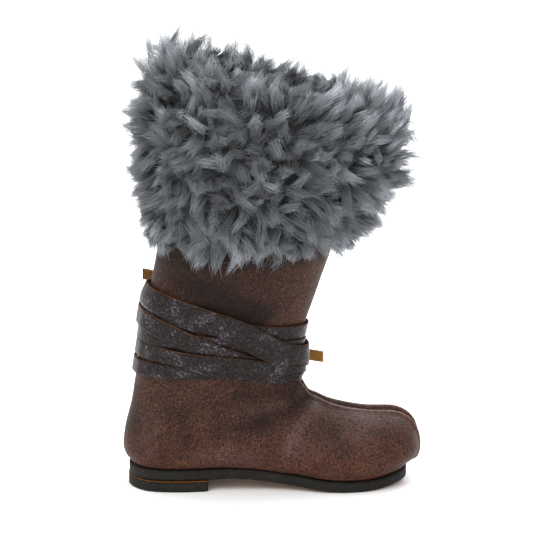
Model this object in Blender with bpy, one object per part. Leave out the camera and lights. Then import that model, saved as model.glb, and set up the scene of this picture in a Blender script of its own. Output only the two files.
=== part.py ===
"""A doll's winter boot for the left foot, built piece by piece.

A fibreboard sole with a low heel lift carries a soft leather upper. The upper is sewn along the front
and the back, and its front seam sinks between two puffed folds. Deep fur covers the top of the shaft,
and one long strap is wound round the ankle and knotted on the outer side.

Frame: metres, +X to the toe, +Z up, -Y to the inner side of the foot. The origin is the middle of the
heel lift's bottom face.
"""

import math
from collections import namedtuple

import bmesh
import bpy
from mathutils import Vector
from mathutils.bvhtree import BVHTree

# The last, in metres
SOLE_LENGTH = 0.0822
HEEL_REACH = 0.0117
BALL_WIDTH = 0.0295
ANKLE_WIDTH = 0.0264
COLLAR_WIDTH = 0.0448
TOE_HEIGHT = 0.0214
INSTEP_HEIGHT = 0.0314
COLLAR_FRONT_HEIGHT = 0.1105
COLLAR_BACK_HEIGHT = 0.1190
TOE_OVERHANG = 0.0042
HEEL_BULGE = 0.0021
FRONT_LEAN = 0.0234
BACK_LEAN = 0.0130

# The sole
HEEL_HEIGHT = 0.0031
HEEL_SHARE = 0.283
HEEL_STAND_OUT = 0.0002
SOLE_THICKNESS = 0.0031
TOE_SPRING = 0.0017
INSOLE_THICKNESS = 0.0012
INSOLE_MARGIN = 0.0006

# The leather, and the gap between two pieces that meet
LEATHER = 0.0010
CLEARANCE = 0.0003
FEATHER_INSET = 0.0008
LOBE_HEIGHT = 0.0004
LOBE_SPACING = 0.0034
LOBE_SPREAD = 0.0022
SEAM_DEPTH = 0.0011
SEAM_SPREAD = 0.0011

# The fur cuff. Its crest stands over the leather's rim, further at the back than in front.
CUFF_HEM_HEIGHT = 0.0725
FUR_DEPTH = 0.0054
FUR_FRONT_SWELL = 0.34
FUR_CREST_FRONT = 0.0026
FUR_CREST_BACK = 0.0092
FUR_INNER_DEPTH = 0.0034
CUFF_INNER_DROP = 0.0150
CUFF_EASE = 0.0008
LOCKS_AROUND = 30
LOCK_LENGTH = 0.0044
LOCK_WAIST = 0.45
LOCK_WAIST_WIDTH = 0.66
LENGTH_SPREAD = 0.32
SIDE_SPREAD = 0.42
LEAN_SPREAD = 10
SLOT_STEPS = 4

# The strap
STRAP_WIDTH = 0.0050
STRAP_THICKNESS = 0.0006
STRAP_LAYER_GAP = 0.00018
STRAP_SEAT = 0.00053
LAYER_SLACK = 0.0003
STRAP_ZONE = 0.0260
STRAP_POINTS_A_TURN = 36
STRAP_START_ANGLE = 98
STRAP_START_LEVEL = 0.45
STRAP_END_ANGLE = 82
STRAP_END_LEVEL = 0.70
LAYER_REACH = 1.2
TAIL_WIDTH = 0.0034
TAIL_STEPS = 3
KNOT_LEVEL = 0.56
KNOT_WIDTH = 0.0080
KNOT_HEIGHT = 0.0066
KNOT_DEPTH = 0.0030
KNOT_BOXINESS = 0.7
KNOT_DENT = 0.22
KNOT_DENT_SPREAD = 0.3
KNOT_SEGMENTS = 14
KNOT_RINGS = 8

# Steps along each stretch of the sole's edge, and sections along each stretch of the upper
HEEL_STEPS = 11
ARCH_STEPS = 9
TREAD_STEPS = 2
TOE_STEPS = 11
INSOLE_STEPS = 22
TOE_SECTIONS = 5
FOOT_SECTIONS = 16
SHAFT_SECTIONS = 17

# The sole's edge: width as a share of the ball's, and how far its middle lies to the outer side
Outline = namedtuple("Outline", "share width offset")
SOLE_OUTLINE = (
    Outline(0.000, 0.000, 0.006),
    Outline(0.041, 0.561, 0.006),
    Outline(0.078, 0.715, 0.006),
    Outline(0.189, 0.798, 0.008),
    Outline(0.271, 0.762, 0.008),
    Outline(0.339, 0.746, 0.006),
    Outline(0.523, 0.787, 0.016),
    Outline(0.641, 0.931, 0.025),
    Outline(0.712, 1.000, 0.022),
    Outline(0.783, 0.994, 0.016),
    Outline(0.854, 0.897, 0.005),
    Outline(0.925, 0.698, -0.003),
    Outline(0.986, 0.343, -0.005),
    Outline(1.000, 0.000, -0.005),
)

# The sole's bottom, as shares of the heel seat's height and of the toe spring. The tread is flat.
TREAD_START = 0.735
TREAD_END = 0.845
SideLine = namedtuple("SideLine", "share lift spring")
SOLE_SIDE = (
    SideLine(0.000, 1.00, 0.00),
    SideLine(0.290, 1.00, 0.00),
    SideLine(0.350, 1.10, 0.00),
    SideLine(0.420, 1.03, 0.00),
    SideLine(0.520, 0.74, 0.00),
    SideLine(0.624, 0.38, 0.00),
    SideLine(0.690, 0.12, 0.00),
    SideLine(TREAD_START, 0.00, 0.00),
    SideLine(TREAD_END, 0.00, 0.00),
    SideLine(0.890, 0.00, 0.22),
    SideLine(0.945, 0.00, 0.60),
    SideLine(1.000, 0.00, 1.00),
)

# Places along the upper: 0 nose, 1 front of the sole, 2 back of the sole, 3 collar.
# Forward runs 0 at the heel's edge, 1 at the front of the feather line, 2 at the nose.
# Level runs 0 at the floor, 1 at the toe's height, 2 at the instep's, 3 at the collar's.
FrontLine = namedtuple("FrontLine", "place forward lean level")
FRONT_LINE = (
    FrontLine(0.000, 2.000, 0.000, 0.561),
    FrontLine(0.250, 1.952, 0.000, 0.690),
    FrontLine(0.500, 1.690, 0.000, 0.805),
    FrontLine(0.750, 1.286, 0.000, 0.890),
    FrontLine(1.000, 0.987, 0.000, 0.955),
    FrontLine(1.067, 0.957, 0.000, 0.985),
    FrontLine(1.200, 0.874, 0.000, 0.990),
    FrontLine(1.333, 0.761, 0.000, 1.100),
    FrontLine(1.400, 0.712, 0.000, 1.240),
    FrontLine(1.467, 0.674, 0.000, 1.400),
    FrontLine(1.533, 0.647, 0.000, 1.580),
    FrontLine(1.600, 0.629, 0.000, 1.780),
    FrontLine(1.667, 0.618, 0.000, 2.000),
    FrontLine(1.733, 0.618, -0.020, 2.034),
    FrontLine(1.800, 0.618, -0.014, 2.068),
    FrontLine(1.867, 0.618, 0.000, 2.102),
    FrontLine(2.000, 0.618, 0.038, 2.163),
    FrontLine(2.143, 0.618, 0.090, 2.230),
    FrontLine(2.286, 0.618, 0.154, 2.286),
    FrontLine(2.500, 0.618, 0.312, 2.422),
    FrontLine(2.714, 0.618, 0.556, 2.646),
    FrontLine(2.857, 0.618, 0.778, 2.829),
    FrontLine(3.000, 0.618, 1.000, 3.000),
)

# The underside of the toe, in front of the sole
ToeLine = namedtuple("ToeLine", "place forward level")
TOE_UNDERSIDE = (
    ToeLine(0.000, 2.000, 0.561),
    ToeLine(0.250, 1.952, 0.435),
    ToeLine(0.500, 1.760, 0.345),
    ToeLine(0.750, 1.430, 0.285),
)

# The back seam: out is the share of the back's lean from the bulge, rise the share up to the collar
BackLine = namedtuple("BackLine", "place out rise")
BACK_LINE = (
    BackLine(2.000, 0.223, 0.000),
    BackLine(2.071, 0.080, 0.017),
    BackLine(2.143, 0.000, 0.047),
    BackLine(2.214, 0.023, 0.081),
    BackLine(2.286, 0.131, 0.128),
    BackLine(2.357, 0.231, 0.184),
    BackLine(2.429, 0.308, 0.246),
    BackLine(2.500, 0.400, 0.309),
    BackLine(2.571, 0.477, 0.376),
    BackLine(2.643, 0.577, 0.447),
    BackLine(2.714, 0.738, 0.527),
    BackLine(2.786, 0.862, 0.625),
    BackLine(2.857, 0.938, 0.741),
    BackLine(2.929, 0.977, 0.875),
    BackLine(3.000, 1.000, 1.000),
)

# Where the front seam and the back seam stop following the sole's swing to the outer side
FRONT_SWING = (1.5, 2.0)
BACK_SWING = (2.0, 2.3)

# How far along the sole the heel's round back reaches
HEEL_ROUND = 0.13

# Half widths of the sections, as shares of the three widths, and how each section is rounded
Girth = namedtuple("Girth", "place ball ankle collar widest low_round high_round")
GIRTHS = (
    Girth(0.000, 0.000, 0.000, 0.000, 0.42, 2.0, 2.0),
    Girth(0.250, 0.300, 0.000, 0.000, 0.42, 2.0, 2.0),
    Girth(0.500, 0.510, 0.000, 0.000, 0.42, 2.0, 2.1),
    Girth(0.750, 0.665, 0.000, 0.000, 0.41, 1.9, 2.2),
    Girth(1.000, 0.775, 0.000, 0.000, 0.40, 1.8, 2.3),
    Girth(1.067, 0.862, 0.000, 0.000, 0.38, 1.7, 2.3),
    Girth(1.200, 1.000, 0.000, 0.000, 0.35, 1.6, 2.3),
    Girth(1.333, 1.050, 0.000, 0.000, 0.33, 1.6, 2.2),
    Girth(1.400, 1.020, 0.000, 0.000, 0.33, 1.6, 2.1),
    Girth(1.467, 0.550, 0.470, 0.000, 0.33, 1.6, 2.1),
    Girth(1.533, 0.250, 0.766, 0.000, 0.34, 1.6, 2.1),
    Girth(1.600, 0.000, 1.010, 0.000, 0.33, 1.6, 2.1),
    Girth(1.800, 0.000, 0.970, 0.000, 0.25, 1.6, 2.2),
    Girth(1.900, 0.000, 0.970, 0.000, 0.20, 1.5, 2.2),
    Girth(2.000, 0.000, 0.970, 0.000, 0.20, 1.7, 2.2),
    Girth(2.143, 0.000, 0.985, 0.000, 0.25, 2.1, 2.2),
    Girth(2.286, 0.000, 0.970, 0.030, 0.32, 2.1, 2.2),
    Girth(2.429, 0.000, 0.900, 0.115, 0.39, 2.1, 2.2),
    Girth(2.571, 0.000, 0.720, 0.305, 0.45, 2.1, 2.1),
    Girth(2.714, 0.000, 0.460, 0.560, 0.48, 2.1, 2.1),
    Girth(2.857, 0.000, 0.180, 0.824, 0.50, 2.0, 2.0),
    Girth(3.000, 0.000, 0.000, 1.000, 0.50, 2.0, 2.0),
)

# How deep the front seam's two folds are
Fold = namedtuple("Fold", "place strength")
FRONT_FOLDS = (
    Fold(0.00, 0.0),
    Fold(0.50, 0.6),
    Fold(1.00, 1.0),
    Fold(1.55, 1.0),
    Fold(1.75, 0.5),
    Fold(3.00, 0.3),
)

# The fur's surface from the outer hem over the rim to the inner hem. Height runs 0 at the hem and 1 at
# the crest outside, 1 at the crest and 0 at the inner hem inside. Lean is the pile's angle in degrees
# above level, and length the lock's share of its full length.
FurLine = namedtuple("FurLine", "height depth lean length")
FUR_OUTSIDE = (
    FurLine(0.00, 0.45, -58, 0.75),
    FurLine(0.13, 0.88, -42, 0.95),
    FurLine(0.27, 1.03, -26, 1.00),
    FurLine(0.41, 1.10, -14, 1.00),
    FurLine(0.55, 1.08, 0, 1.00),
    FurLine(0.69, 1.00, 18, 1.00),
    FurLine(0.82, 0.84, 38, 1.00),
    FurLine(0.93, 0.56, 60, 0.90),
)
FUR_CREST_LINE = FurLine(1.00, 0.00, 88, 0.70)
FUR_INSIDE = (
    FurLine(0.88, 0.75, 60, 0.60),
    FurLine(0.55, 1.00, 20, 0.60),
    FurLine(0.20, 0.85, -10, 0.50),
)

# The strap's turns, innermost first: middle heights at the back, on the inner side and in front as
# shares of the strap zone above the instep, and widths as shares of the strap's width
Turn = namedtuple("Turn", "back inner front width")
STRAP_TURNS = (
    Turn(0.215, 0.225, 0.075, 0.84),
    Turn(0.860, 0.725, 0.580, 0.88),
    Turn(0.600, 0.540, 0.405, 0.96),
    Turn(0.790, 0.415, 0.150, 1.06),
    Turn(0.427, 0.336, 0.180, 0.86),
    Turn(1.030, 0.755, 0.290, 1.26),
)

# The two tails, from the knot: angle in degrees round the ankle (0 front, 90 outer side), height as a
# share of the strap zone, and how far the strip stands off what lies under it, in strap thicknesses
TailPoint = namedtuple("TailPoint", "angle level stand_off")
FRONT_TAIL = (
    TailPoint(76.0, 0.50, 1.0),
    TailPoint(61.0, 0.40, 1.0),
    TailPoint(48.0, 0.30, 1.2),
    TailPoint(37.0, 0.22, 2.0),
    TailPoint(28.0, 0.17, 5.0),
    TailPoint(22.0, 0.14, 9.0),
    TailPoint(17.5, 0.13, 12.0),
)
BACK_TAIL = (
    TailPoint(103.0, 0.62, 1.0),
    TailPoint(120.0, 0.77, 1.0),
    TailPoint(133.0, 0.91, 1.0),
    TailPoint(143.0, 1.02, 1.2),
    TailPoint(150.0, 1.08, 1.6),
    TailPoint(155.0, 1.11, 2.4),
)

# Each piece's colour and roughness, and the angle in degrees from which its edges stay sharp
Finish = namedtuple("Finish", "colour roughness sharp_from")
EDGE_PAINT = (0.045, 0.038, 0.034)
STRAP_LEATHER = (0.050, 0.038, 0.036)
STRAP_BACKING = (0.42, 0.23, 0.07)
FINISHES = {
    "outsole": Finish(EDGE_PAINT, 0.85, 40),
    "heel_lift": Finish(EDGE_PAINT, 0.85, 40),
    "insole": Finish((0.30, 0.18, 0.08), 0.85, 40),
    "upper": Finish((0.095, 0.048, 0.032), 0.55, 60),
    "fur_cuff": Finish((0.105, 0.118, 0.130), 0.95, 30),
    "ankle_strap": Finish(STRAP_LEATHER, 0.40, 50),
    "strap_knot": Finish(STRAP_LEATHER, 0.40, 60),
    "strap_tail_front": Finish(STRAP_BACKING, 0.75, 50),
    "strap_tail_back": Finish(STRAP_BACKING, 0.75, 50),
}


def between(low, high, share):
    """The value at a share of the way from low to high."""
    return low + (high - low) * share


def share_of(value, low, high):
    """How far a value lies on the way from low to high, kept within 0 and 1."""
    return min(max((value - low) / (high - low), 0.0), 1.0)


def smooth_value(places, values, at):
    """A monotone cubic curve through a table's points, read at one place."""
    steps = [b - a for a, b in zip(places, places[1:])]
    rates = [(b - a) / step for a, b, step in zip(values, values[1:], steps)]
    slopes = [rates[0]]
    for before, after in zip(rates, rates[1:]):
        slopes.append(0.0 if before * after <= 0 else 2 * before * after / (before + after))
    slopes.append(rates[-1])
    index = 0
    while index < len(steps) - 1 and at > places[index + 1]:
        index += 1
    step = steps[index]
    t = share_of(at, places[index], places[index + 1])
    rest = 1 - t
    return (values[index] * (1 + 2 * t) * rest * rest
            + values[index + 1] * (3 - 2 * t) * t * t
            + slopes[index] * step * t * rest * rest
            - slopes[index + 1] * step * t * t * rest)


def read(table, column, at):
    """One column of a table, read on a smooth curve at a place in the table's first column."""
    return smooth_value([row[0] for row in table], [getattr(row, column) for row in table], at)


def sole_half_width(share):
    """Half the sole's width. Its square runs smoothly, so both ends come out round."""
    squares = [row.width ** 2 for row in SOLE_OUTLINE]
    square = smooth_value([row.share for row in SOLE_OUTLINE], squares, share)
    return BALL_WIDTH / 2 * math.sqrt(max(square, 0.0))


def sole_edge(turn):
    """The sole's edge at an angle: 0 at the heel's back, pi at the toe, the outer side between them."""
    share = (1 - math.cos(turn)) / 2
    side = 1 if math.sin(turn) >= 0 else -1
    middle = read(SOLE_OUTLINE, "offset", share) * BALL_WIDTH
    return Vector((share * SOLE_LENGTH - HEEL_REACH, middle + side * sole_half_width(share)))


def sole_edge_inset(turn, inset):
    """The sole's edge moved in by a distance, or out where it is negative."""
    nudge = 0.02
    along = (sole_edge(turn + nudge) - sole_edge(turn - nudge)).normalized()
    return sole_edge(turn) - Vector((-along.y, along.x)) * inset


def sole_share(x):
    """How far along the sole a point lies, 0 at the heel's edge and 1 at the toe."""
    return share_of(x, -HEEL_REACH, SOLE_LENGTH - HEEL_REACH)


def sole_bottom(x):
    """Height of the outsole's bottom face."""
    share = sole_share(x)
    seat = HEEL_HEIGHT + CLEARANCE
    return read(SOLE_SIDE, "lift", share) * seat + read(SOLE_SIDE, "spring", share) * TOE_SPRING


def sole_top(x):
    """Height of the outsole's top face."""
    return sole_bottom(x) + SOLE_THICKNESS


def turn_at(share):
    """The angle of the sole's edge at a share of its length."""
    return math.acos(1 - 2 * share)


def spaced(start, end, count):
    """Values from start to end with count steps, without the last."""
    return [between(start, end, i / count) for i in range(count)]


def new_object(name, vertices, faces):
    """A closed mesh object with its own material."""
    finish = FINISHES[name]
    mesh = bpy.data.meshes.new(name)
    mesh.from_pydata([tuple(v) for v in vertices], [], faces)
    shape = bmesh.new()
    shape.from_mesh(mesh)
    bmesh.ops.recalc_face_normals(shape, faces=shape.faces)
    shape.to_mesh(mesh)
    shape.free()
    mesh.shade_smooth()
    mesh.set_sharp_from_angle(angle=math.radians(finish.sharp_from))
    piece = bpy.data.objects.new(name, mesh)
    bpy.context.scene.collection.objects.link(piece)
    material = bpy.data.materials.new(name)
    material.use_nodes = True
    shader = material.node_tree.nodes["Principled BSDF"]
    shader.inputs["Base Color"].default_value = (*finish.colour, 1)
    shader.inputs["Roughness"].default_value = finish.roughness
    shader.inputs["Metallic"].default_value = 0
    mesh.materials.append(material)
    return piece


def sole_slab(name, turns, inset, low, high):
    """A slab that follows the sole's edge, between two heights given as functions of x."""
    vertices = []
    sections = []
    for turn in turns:
        sides = (-turn,) if turn in (0.0, math.pi) else (-turn, turn)
        points = [sole_edge_inset(side, inset) for side in sides]
        bottom = [len(vertices) + i for i in range(len(points))]
        vertices += [(*p, low(p.x)) for p in points]
        top = [len(vertices) + i for i in range(len(points))]
        vertices += [(*p, high(p.x)) for p in points]
        sections.append((bottom, top))
    faces = []
    for (low_a, high_a), (low_b, high_b) in zip(sections, sections[1:]):
        faces.append(low_a + low_b[::-1])
        faces.append(high_a + high_b[::-1])
        for end in (0, -1):
            faces.append([low_a[end], low_b[end], high_b[end], high_a[end]])
    for low_row, high_row in (sections[0], sections[-1]):
        if len(low_row) == 2:
            faces.append(low_row + high_row[::-1])
    return new_object(name, vertices, faces)


def make_outsole():
    """The fibreboard sole, with an exactly flat tread under the ball."""
    marks = [0.0, turn_at(HEEL_SHARE), turn_at(TREAD_START), turn_at(TREAD_END), math.pi]
    counts = (HEEL_STEPS, ARCH_STEPS, TREAD_STEPS, TOE_STEPS)
    turns = [t for a, b, n in zip(marks, marks[1:], counts) for t in spaced(a, b, n)] + [math.pi]
    return sole_slab("outsole", turns, 0.0, sole_bottom, sole_top)


def make_heel_lift():
    """The low block under the heel, cut straight at its front."""
    breast = turn_at(HEEL_SHARE)
    turns = spaced(0.0, breast, HEEL_STEPS) + [breast]
    return sole_slab("heel_lift", turns, -HEEL_STAND_OUT, lambda x: 0.0, lambda x: HEEL_HEIGHT)


def make_insole():
    """The board inside the upper, on the outsole."""
    inset = FEATHER_INSET + LEATHER + INSOLE_MARGIN
    turns = spaced(0.0, math.pi, INSOLE_STEPS) + [math.pi]
    return sole_slab("insole", turns, inset, lambda x: sole_top(x) + CLEARANCE,
                     lambda x: sole_top(x) + CLEARANCE + INSOLE_THICKNESS)


def forward(value):
    """The x of a forward value: 1 at the front of the feather line, 2 at the nose."""
    tip = SOLE_LENGTH - HEEL_REACH - FEATHER_INSET
    return between_stops((-HEEL_REACH, tip, tip + TOE_OVERHANG), value)


def height(level):
    """The z of a level: 1 at the toe's height, 2 at the instep's, 3 at the collar's front."""
    return between_stops((0.0, TOE_HEIGHT, INSTEP_HEIGHT, COLLAR_FRONT_HEIGHT), level)


def between_stops(stops, value):
    """Straight runs between named stops at 0, 1, 2 and so on."""
    index = min(int(value), len(stops) - 2)
    return between(stops[index], stops[index + 1], value - index)


def front_point(place):
    """The section's upper end, on the front seam."""
    x = forward(read(FRONT_LINE, "forward", place)) + read(FRONT_LINE, "lean", place) * FRONT_LEAN
    swing = 1 - share_of(place, *FRONT_SWING)
    side = read(SOLE_OUTLINE, "offset", sole_share(x)) * BALL_WIDTH * swing
    return Vector((x, side, height(read(FRONT_LINE, "level", place))))


def feather_point(turn):
    """A point of the line where the upper meets the sole."""
    edge = sole_edge_inset(turn, FEATHER_INSET)
    return Vector((edge.x, edge.y, sole_top(edge.x) + CLEARANCE))


def low_points(place):
    """The section's lower ends on the inner and the outer side. They are one point where it is closed."""
    if 1 < place < 2:
        turn = math.pi * (2 - place)
        return feather_point(-turn), feather_point(turn)
    last = TOE_UNDERSIDE[-1]
    if place <= last.place:
        point = Vector((forward(read(TOE_UNDERSIDE, "forward", place)), 0.0,
                        height(read(TOE_UNDERSIDE, "level", place))))
    elif place <= 1:
        before = Vector((forward(last.forward), 0.0, height(last.level)))
        point = before.lerp(feather_point(math.pi), (place - last.place) / (1 - last.place))
    elif place == 2:
        point = feather_point(0.0)
    else:
        seat = feather_point(0.0)
        x = -HEEL_REACH - HEEL_BULGE + read(BACK_LINE, "out", place) * BACK_LEAN
        z = between(seat.z, COLLAR_BACK_HEIGHT, read(BACK_LINE, "rise", place))
        point = Vector((x, seat.y * (1 - share_of(place, *BACK_SWING)), z))
    return point, point


def heel_swell(z):
    """How far the heel's back has swelled out from the feather line at a height, up to its fullest."""
    seat = feather_point(0.0).z
    fullest = min(BACK_LINE, key=lambda row: row.out)
    rise = min(max((z - seat) / (COLLAR_BACK_HEIGHT - seat), 0.0), fullest.rise)
    out = smooth_value([row.rise for row in BACK_LINE], [row.out for row in BACK_LINE], rise)
    return (BACK_LINE[0].out - out) * BACK_LEAN


def half_width(place):
    """The section's half width, from the ball's, the ankle's and the collar's."""
    return (read(GIRTHS, "ball", place) * BALL_WIDTH
            + read(GIRTHS, "ankle", place) * ANKLE_WIDTH
            + read(GIRTHS, "collar", place) * COLLAR_WIDTH) / 2


def fold_lift(offset, place):
    """How far the two puffed folds rise, and the seam sinks, at a distance from the middle."""
    lobe = LOBE_HEIGHT * math.exp(-((abs(offset) - LOBE_SPACING) / LOBE_SPREAD) ** 2)
    seam = SEAM_DEPTH * math.exp(-(offset / SEAM_SPREAD) ** 2)
    return (lobe - seam) * read(FRONT_FOLDS, "strength", place)


# Angles of the section's points: the lower round from the feather line out to the widest point, and the
# upper round from there to the front seam, closer together over the folds
LOW_ANGLES = (0, 22, 45, 68)
HIGH_ANGLES = (0, 24, 44, 58, 68, 76, 83)


def half_section(place, side):
    """Points from the lower end up to the front seam on one side, without the seam's own point."""
    low = low_points(place)[0 if side < 0 else 1]
    top = front_point(place)
    middle_low = (low_points(place)[0].y + low_points(place)[1].y) / 2
    spread = abs(low.y - middle_low)
    width = max(half_width(place), spread)
    widest = read(GIRTHS, "widest", place)
    low_power = 2 / read(GIRTHS, "low_round", place)
    high_power = 2 / read(GIRTHS, "high_round", place)
    rise = Vector((top.x - low.x, 0.0, top.z - low.z)).normalized()
    points = []
    for angle in LOW_ANGLES:
        t = widest * (1 - math.cos(math.radians(angle)) ** low_power)
        points.append((t, between(spread, width, math.sin(math.radians(angle)) ** low_power)))
    for angle in HIGH_ANGLES:
        t = between(widest, 1.0, math.sin(math.radians(angle)) ** high_power)
        points.append((t, width * math.cos(math.radians(angle)) ** high_power))
    section = []
    for t, offset in points:
        point = low.lerp(top, t)
        point.y = between(middle_low, top.y, t) + side * offset
        lift = fold_lift(offset, place) if t > widest else 0.0
        behind = 1 - share_of(sole_share(point.x), 0.0, HEEL_ROUND)
        point.x -= (heel_swell(point.z) - heel_swell(low.z)) * behind
        section.append(point + rise * lift)
    return section


def upper_skin():
    """Vertices and faces of the leather's outer face, open at the collar and along the feather line."""
    places = spaced(0.0, 1.0, TOE_SECTIONS)[1:] + spaced(1.0, 2.0, FOOT_SECTIONS)
    places += spaced(2.0, 3.0, SHAFT_SECTIONS) + [3.0]
    vertices = [front_point(0.0)]
    rows = []
    for place in places:
        inner = half_section(place, -1)
        outer = half_section(place, 1)
        top = front_point(place)
        rise = (top - (inner[0] + outer[0]) / 2).normalized()
        seam = top + rise * fold_lift(0.0, place)
        closed = not 1 < place < 2
        points = inner + [seam] + outer[::-1]
        if closed:
            points.pop()
        start = len(vertices)
        vertices += points
        row = list(range(start, start + len(points)))
        rows.append(row + [start] if closed else row)
    faces = [(0, b, a) for a, b in zip(rows[0], rows[0][1:])]
    for near, far in zip(rows, rows[1:]):
        for j in range(len(near) - 1):
            face = [near[j], near[j + 1], far[j + 1], far[j]]
            faces.append(tuple(dict.fromkeys(face)))
    return vertices, faces


def make_upper(vertices, faces):
    """The leather with its real thickness, standing on the sole along the feather line."""
    shape = bmesh.new()
    corners = [shape.verts.new(v) for v in vertices]
    for face in faces:
        shape.faces.new([corners[i] for i in face])
    bmesh.ops.recalc_face_normals(shape, faces=shape.faces)
    shape.normal_update()
    crown = max(shape.faces, key=lambda f: f.calc_center_median().x)
    outward = 1 if crown.normal.x > 0 else -1
    inner = []
    for corner in corners:
        normal = corner.normal * outward
        if corner.is_boundary:
            normal = Vector((normal.x, normal.y, 0.0)).normalized()
        inner.append(corner.co - normal * LEATHER)
    shape.verts.index_update()
    edges = [(e.verts[0].index, e.verts[1].index) for e in shape.edges if e.is_boundary]
    count = len(vertices)
    shell = list(faces) + [tuple(i + count for i in reversed(face)) for face in faces]
    shell += [(a, b, b + count, a + count) for a, b in edges]
    shape.free()
    return new_object("upper", list(vertices) + inner, shell)


class Shaft:
    """Reads the leather's outer face at an angle and a height: 0 degrees in front, 90 on the outer side."""

    def __init__(self, vertices, faces):
        self.tree = BVHTree.FromPolygons(vertices, faces)
        self.ankle_axis = (forward(read(FRONT_LINE, "forward", 2.0)) - HEEL_REACH) / 2
        self.collar_front = front_point(3.0)
        self.collar_back = low_points(3.0)[0]

    @staticmethod
    def ankle_reach():
        """Half the ankle's depth from front to back."""
        return (forward(read(FRONT_LINE, "forward", 2.0)) + HEEL_REACH) / 2

    def axis(self, z):
        """The shaft's middle line, leaning forward as it rises."""
        share = share_of(z, INSTEP_HEIGHT, self.collar_back.z)
        collar_axis = (self.collar_front.x + self.collar_back.x) / 2
        return Vector((between(self.ankle_axis, collar_axis, share), 0.0, z))

    def rim(self, angle):
        """Height of the leather's rim at an angle. The rim lies in one sloping plane, met in a few rounds."""
        back, front = self.collar_back, self.collar_front
        level = front.z - LEATHER
        reach = self.cast(angle, level)
        z = (back.z + front.z) / 2
        for _ in range(4):
            x = self.axis(z).x + reach * math.cos(angle)
            z = between(back.z, front.z, (x - back.x) / (front.x - back.x))
        return z

    def cast(self, angle, z):
        """Distance from the axis to the leather at a height below the rim."""
        return self.tree.ray_cast(self.axis(z), Vector((math.cos(angle), math.sin(angle), 0.0)))[3]

    def radius(self, angle, z):
        """Distance from the axis to the leather, read just under the rim for heights above it."""
        return self.cast(angle, min(z, self.rim(angle) - LEATHER))

    def point(self, angle, z, out):
        """A point at a distance out from the leather's outer face."""
        direction = Vector((math.cos(angle), math.sin(angle), 0.0))
        return self.axis(z) + direction * (self.radius(angle, z) + out)


def even_angle(turn, width, depth):
    """The angle of a point at an even pace round an oval, so that its tight ends get as many points."""
    angle = math.atan2(width * math.sin(turn), depth * math.cos(turn))
    return turn + (angle - turn + math.pi) % (2 * math.pi) - math.pi


def fur_front(angle):
    """The fur stands out further at the front than at the back."""
    return 1 + FUR_FRONT_SWELL * math.cos(angle)


def fur_grid(shaft, angle):
    """The fur's surface at one angle, from the outer hem over the rim to the inner hem."""
    rim = shaft.rim(angle)
    crest = rim + between(FUR_CREST_FRONT, FUR_CREST_BACK, (1 - math.cos(angle)) / 2)
    points = []
    for line in FUR_OUTSIDE:
        out = CUFF_EASE + line.depth * FUR_DEPTH * fur_front(angle)
        points.append((shaft.point(angle, between(CUFF_HEM_HEIGHT, crest, line.height), out), line))
    points.append((shaft.point(angle, crest, -LEATHER / 2), FUR_CREST_LINE))
    for line in FUR_INSIDE:
        into = LEATHER + CLEARANCE + line.depth * FUR_INNER_DEPTH
        points.append((shaft.point(angle, between(rim - CUFF_INNER_DROP, crest, line.height), -into), line))
    return points


def slot_points(shaft, angle):
    """The cuff's slot over the shaft, from the inner hem over the leather's rim to the outer hem."""
    rim = shaft.rim(angle)
    inside = -LEATHER - CLEARANCE
    low = rim - CUFF_INNER_DROP
    points = [shaft.point(angle, z, inside) for z in (low, between(low, rim, 0.5), rim + CLEARANCE)]
    outer_heights = spaced(rim + CLEARANCE, CUFF_HEM_HEIGHT, SLOT_STEPS) + [CUFF_HEM_HEIGHT]
    return points + [shaft.point(angle, z, CUFF_EASE) for z in outer_heights]


def lock_direction(angle, lean, inward):
    """The pile's direction: out from the shaft, or in towards its middle, and up or down by its lean."""
    slope = math.radians(lean)
    out = -1 if inward else 1
    return Vector((out * math.cos(slope) * math.cos(angle), out * math.cos(slope) * math.sin(angle),
                   math.sin(slope)))


def unevenness(a, b):
    """A repeatable value from -1 to 1 that differs from lock to lock."""
    return math.sin(a * 12.9898 + b * 78.233 + a * b * 1.7)


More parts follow.
